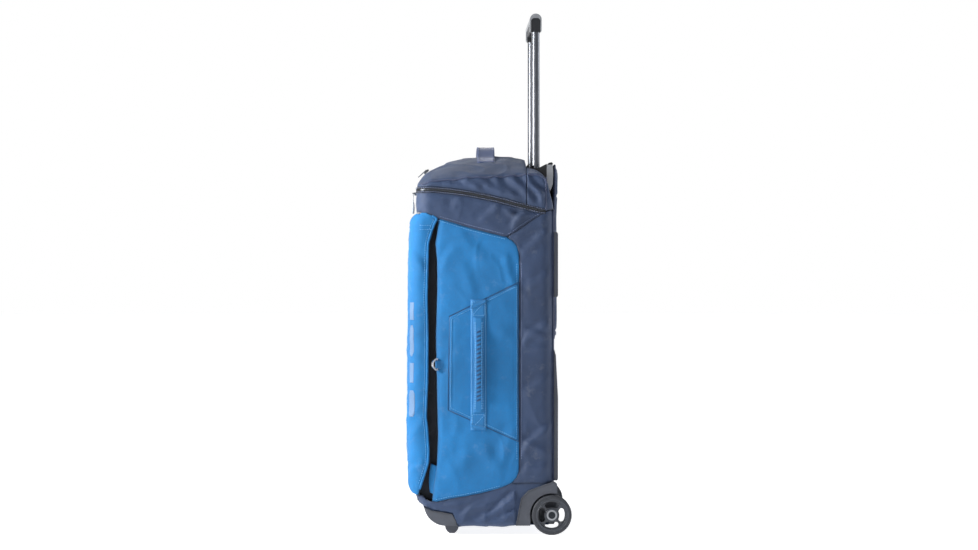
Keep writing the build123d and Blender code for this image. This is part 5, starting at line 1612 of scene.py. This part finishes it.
class DUFFEL_OT_stage(bpy.types.Operator):
    """Floor, soft lights and camera"""
    bl_idname = "duffel.stage"
    bl_label = "Stage"

    def execute(self, context):
        sizes = context.scene.duffel_sizes
        turns = np.linspace(0, 2 * pi, 96, endpoint=False)
        radii = np.array([0.01, 0.5, 1.0, 2.0, 4.0, 8.0, 30.0]) * 1000
        points = np.array([(r * cos(a), r * sin(a), -0.2) for r in radii for a in turns])
        floor = put_mesh("studio_floor", points, grid_faces(len(radii), 96, ring=True), "floor")
        self.light_air(context.scene)
        lamps = (
            ("key_softbox", (0.66, -1.5, 0.95), 0.5, 40.0, (1.0, 0.99, 0.97)),
            ("front_fill", (3.6, -1.9, 1.1), 1.6, 12.0, (1.0, 1.0, 1.0)),
            ("rim_softbox", (-0.6, 2.8, 1.6), 1.2, 24.0, (0.95, 0.97, 1.0)),
            ("top_softbox", (0.5, -0.9, 2.8), 1.2, 22.0, (1.0, 1.0, 1.0)),
        )
        for name, place, size, power, colour in lamps:
            light = bpy.data.lights.new(name, "AREA")
            light.shape, light.size, light.energy, light.color = "DISK", size, power, colour
            lamp = bpy.data.objects.new(name, light)
            lamp.location = place
            lamp.rotation_euler = (Vector((0, 0, 0.5)) - Vector(place)).to_track_quat("-Z", "Y").to_euler()
            context.scene.collection.objects.link(lamp)
        context.scene.view_settings.view_transform = "Standard"
        view = bpy.data.cameras.new("studio_camera")
        view.lens, view.sensor_width = 89.6, 36.0
        view.clip_end = 100
        camera = bpy.data.objects.new("studio_camera", view)
        turn = radians(1.2)
        camera.location = (sizes.distance * cos(turn), -sizes.distance * sin(turn), sizes.eye_height)
        target = Vector((HALF / 1000 + 0.01, -0.001, sizes.eye_height))
        camera.rotation_euler = (target - camera.location).to_track_quat("-Z", "Y").to_euler()
        context.scene.collection.objects.link(camera)
        context.scene.camera = camera
        return {"FINISHED"}

    def light_air(self, scene):
        """Air that is white along the horizon and a quiet grey above, bright but not flat."""
        world = bpy.data.worlds.new("studio_air")
        scene.world = world
        world.use_nodes = True
        tree = world.node_tree
        way = add_node(tree, "ShaderNodeTexCoord").outputs["Generated"]
        height = add_node(tree, "ShaderNodeSeparateXYZ", None, {"Vector": way}).outputs["Z"]
        shade = ramp(tree, height,
                     [(0.0, (1.0, 1.0, 1.0, 1)), (0.13, (1.0, 1.0, 1.0, 1)), (0.3, (0.3, 0.31, 0.33, 1)),
                                    (1.0, (0.22, 0.23, 0.25, 1))])
        across = add_node(tree, "ShaderNodeSeparateXYZ", None, {"Vector": way}).outputs["X"]
        quiet = ramp(tree, across, [(0.1, (1, 1, 1, 1)), (0.7, (0.42, 0.43, 0.45, 1))])
        both = add_node(tree, "ShaderNodeMix", {"data_type": "RGBA", "blend_type": "MULTIPLY"},
                        {"Factor": 1.0, "A": shade, "B": quiet}).outputs["Result"]
        tree.links.new(both, tree.nodes["Background"].inputs["Color"])
        tree.nodes["Background"].inputs["Strength"].default_value = 1.0


OPERATORS = (
    DUFFEL_OT_side_panels, DUFFEL_OT_navy_shell, DUFFEL_OT_roof, DUFFEL_OT_main_lid, DUFFEL_OT_gap_and_lining,
    DUFFEL_OT_zips, DUFFEL_OT_side_handles, DUFFEL_OT_back_pad, DUFFEL_OT_hard_parts, DUFFEL_OT_stage,
)


class DUFFEL_PT_panel(bpy.types.Panel):
    """Lists the bag's pieces in the sidebar"""
    bl_idname = "DUFFEL_PT_panel"
    bl_label = "Rolling duffel"
    bl_space_type = "VIEW_3D"
    bl_region_type = "UI"
    bl_category = "Duffel"

    def draw(self, context):
        for operator in OPERATORS:
            self.layout.operator(operator.bl_idname)


CLASSES = (FabricColours, HardColours, BagSizes, *OPERATORS, DUFFEL_PT_panel)


def register():
    for made in CLASSES:
        bpy.utils.register_class(made)
    bpy.types.Scene.duffel_fabrics = bpy.props.PointerProperty(type=FabricColours)
    bpy.types.Scene.duffel_hard = bpy.props.PointerProperty(type=HardColours)
    bpy.types.Scene.duffel_sizes = bpy.props.PointerProperty(type=BagSizes)


def unregister():
    del bpy.types.Scene.duffel_fabrics, bpy.types.Scene.duffel_hard, bpy.types.Scene.duffel_sizes
    for made in reversed(CLASSES):
        bpy.utils.unregister_class(made)


def main():
    register()
    scene = bpy.context.scene
    make_materials(scene.duffel_fabrics, scene.duffel_hard, scene.duffel_sizes)
    for operator in OPERATORS:
        group, name = operator.bl_idname.split(".")
        getattr(getattr(bpy.ops, group), name)()


if __name__ == "__main__":
    main()
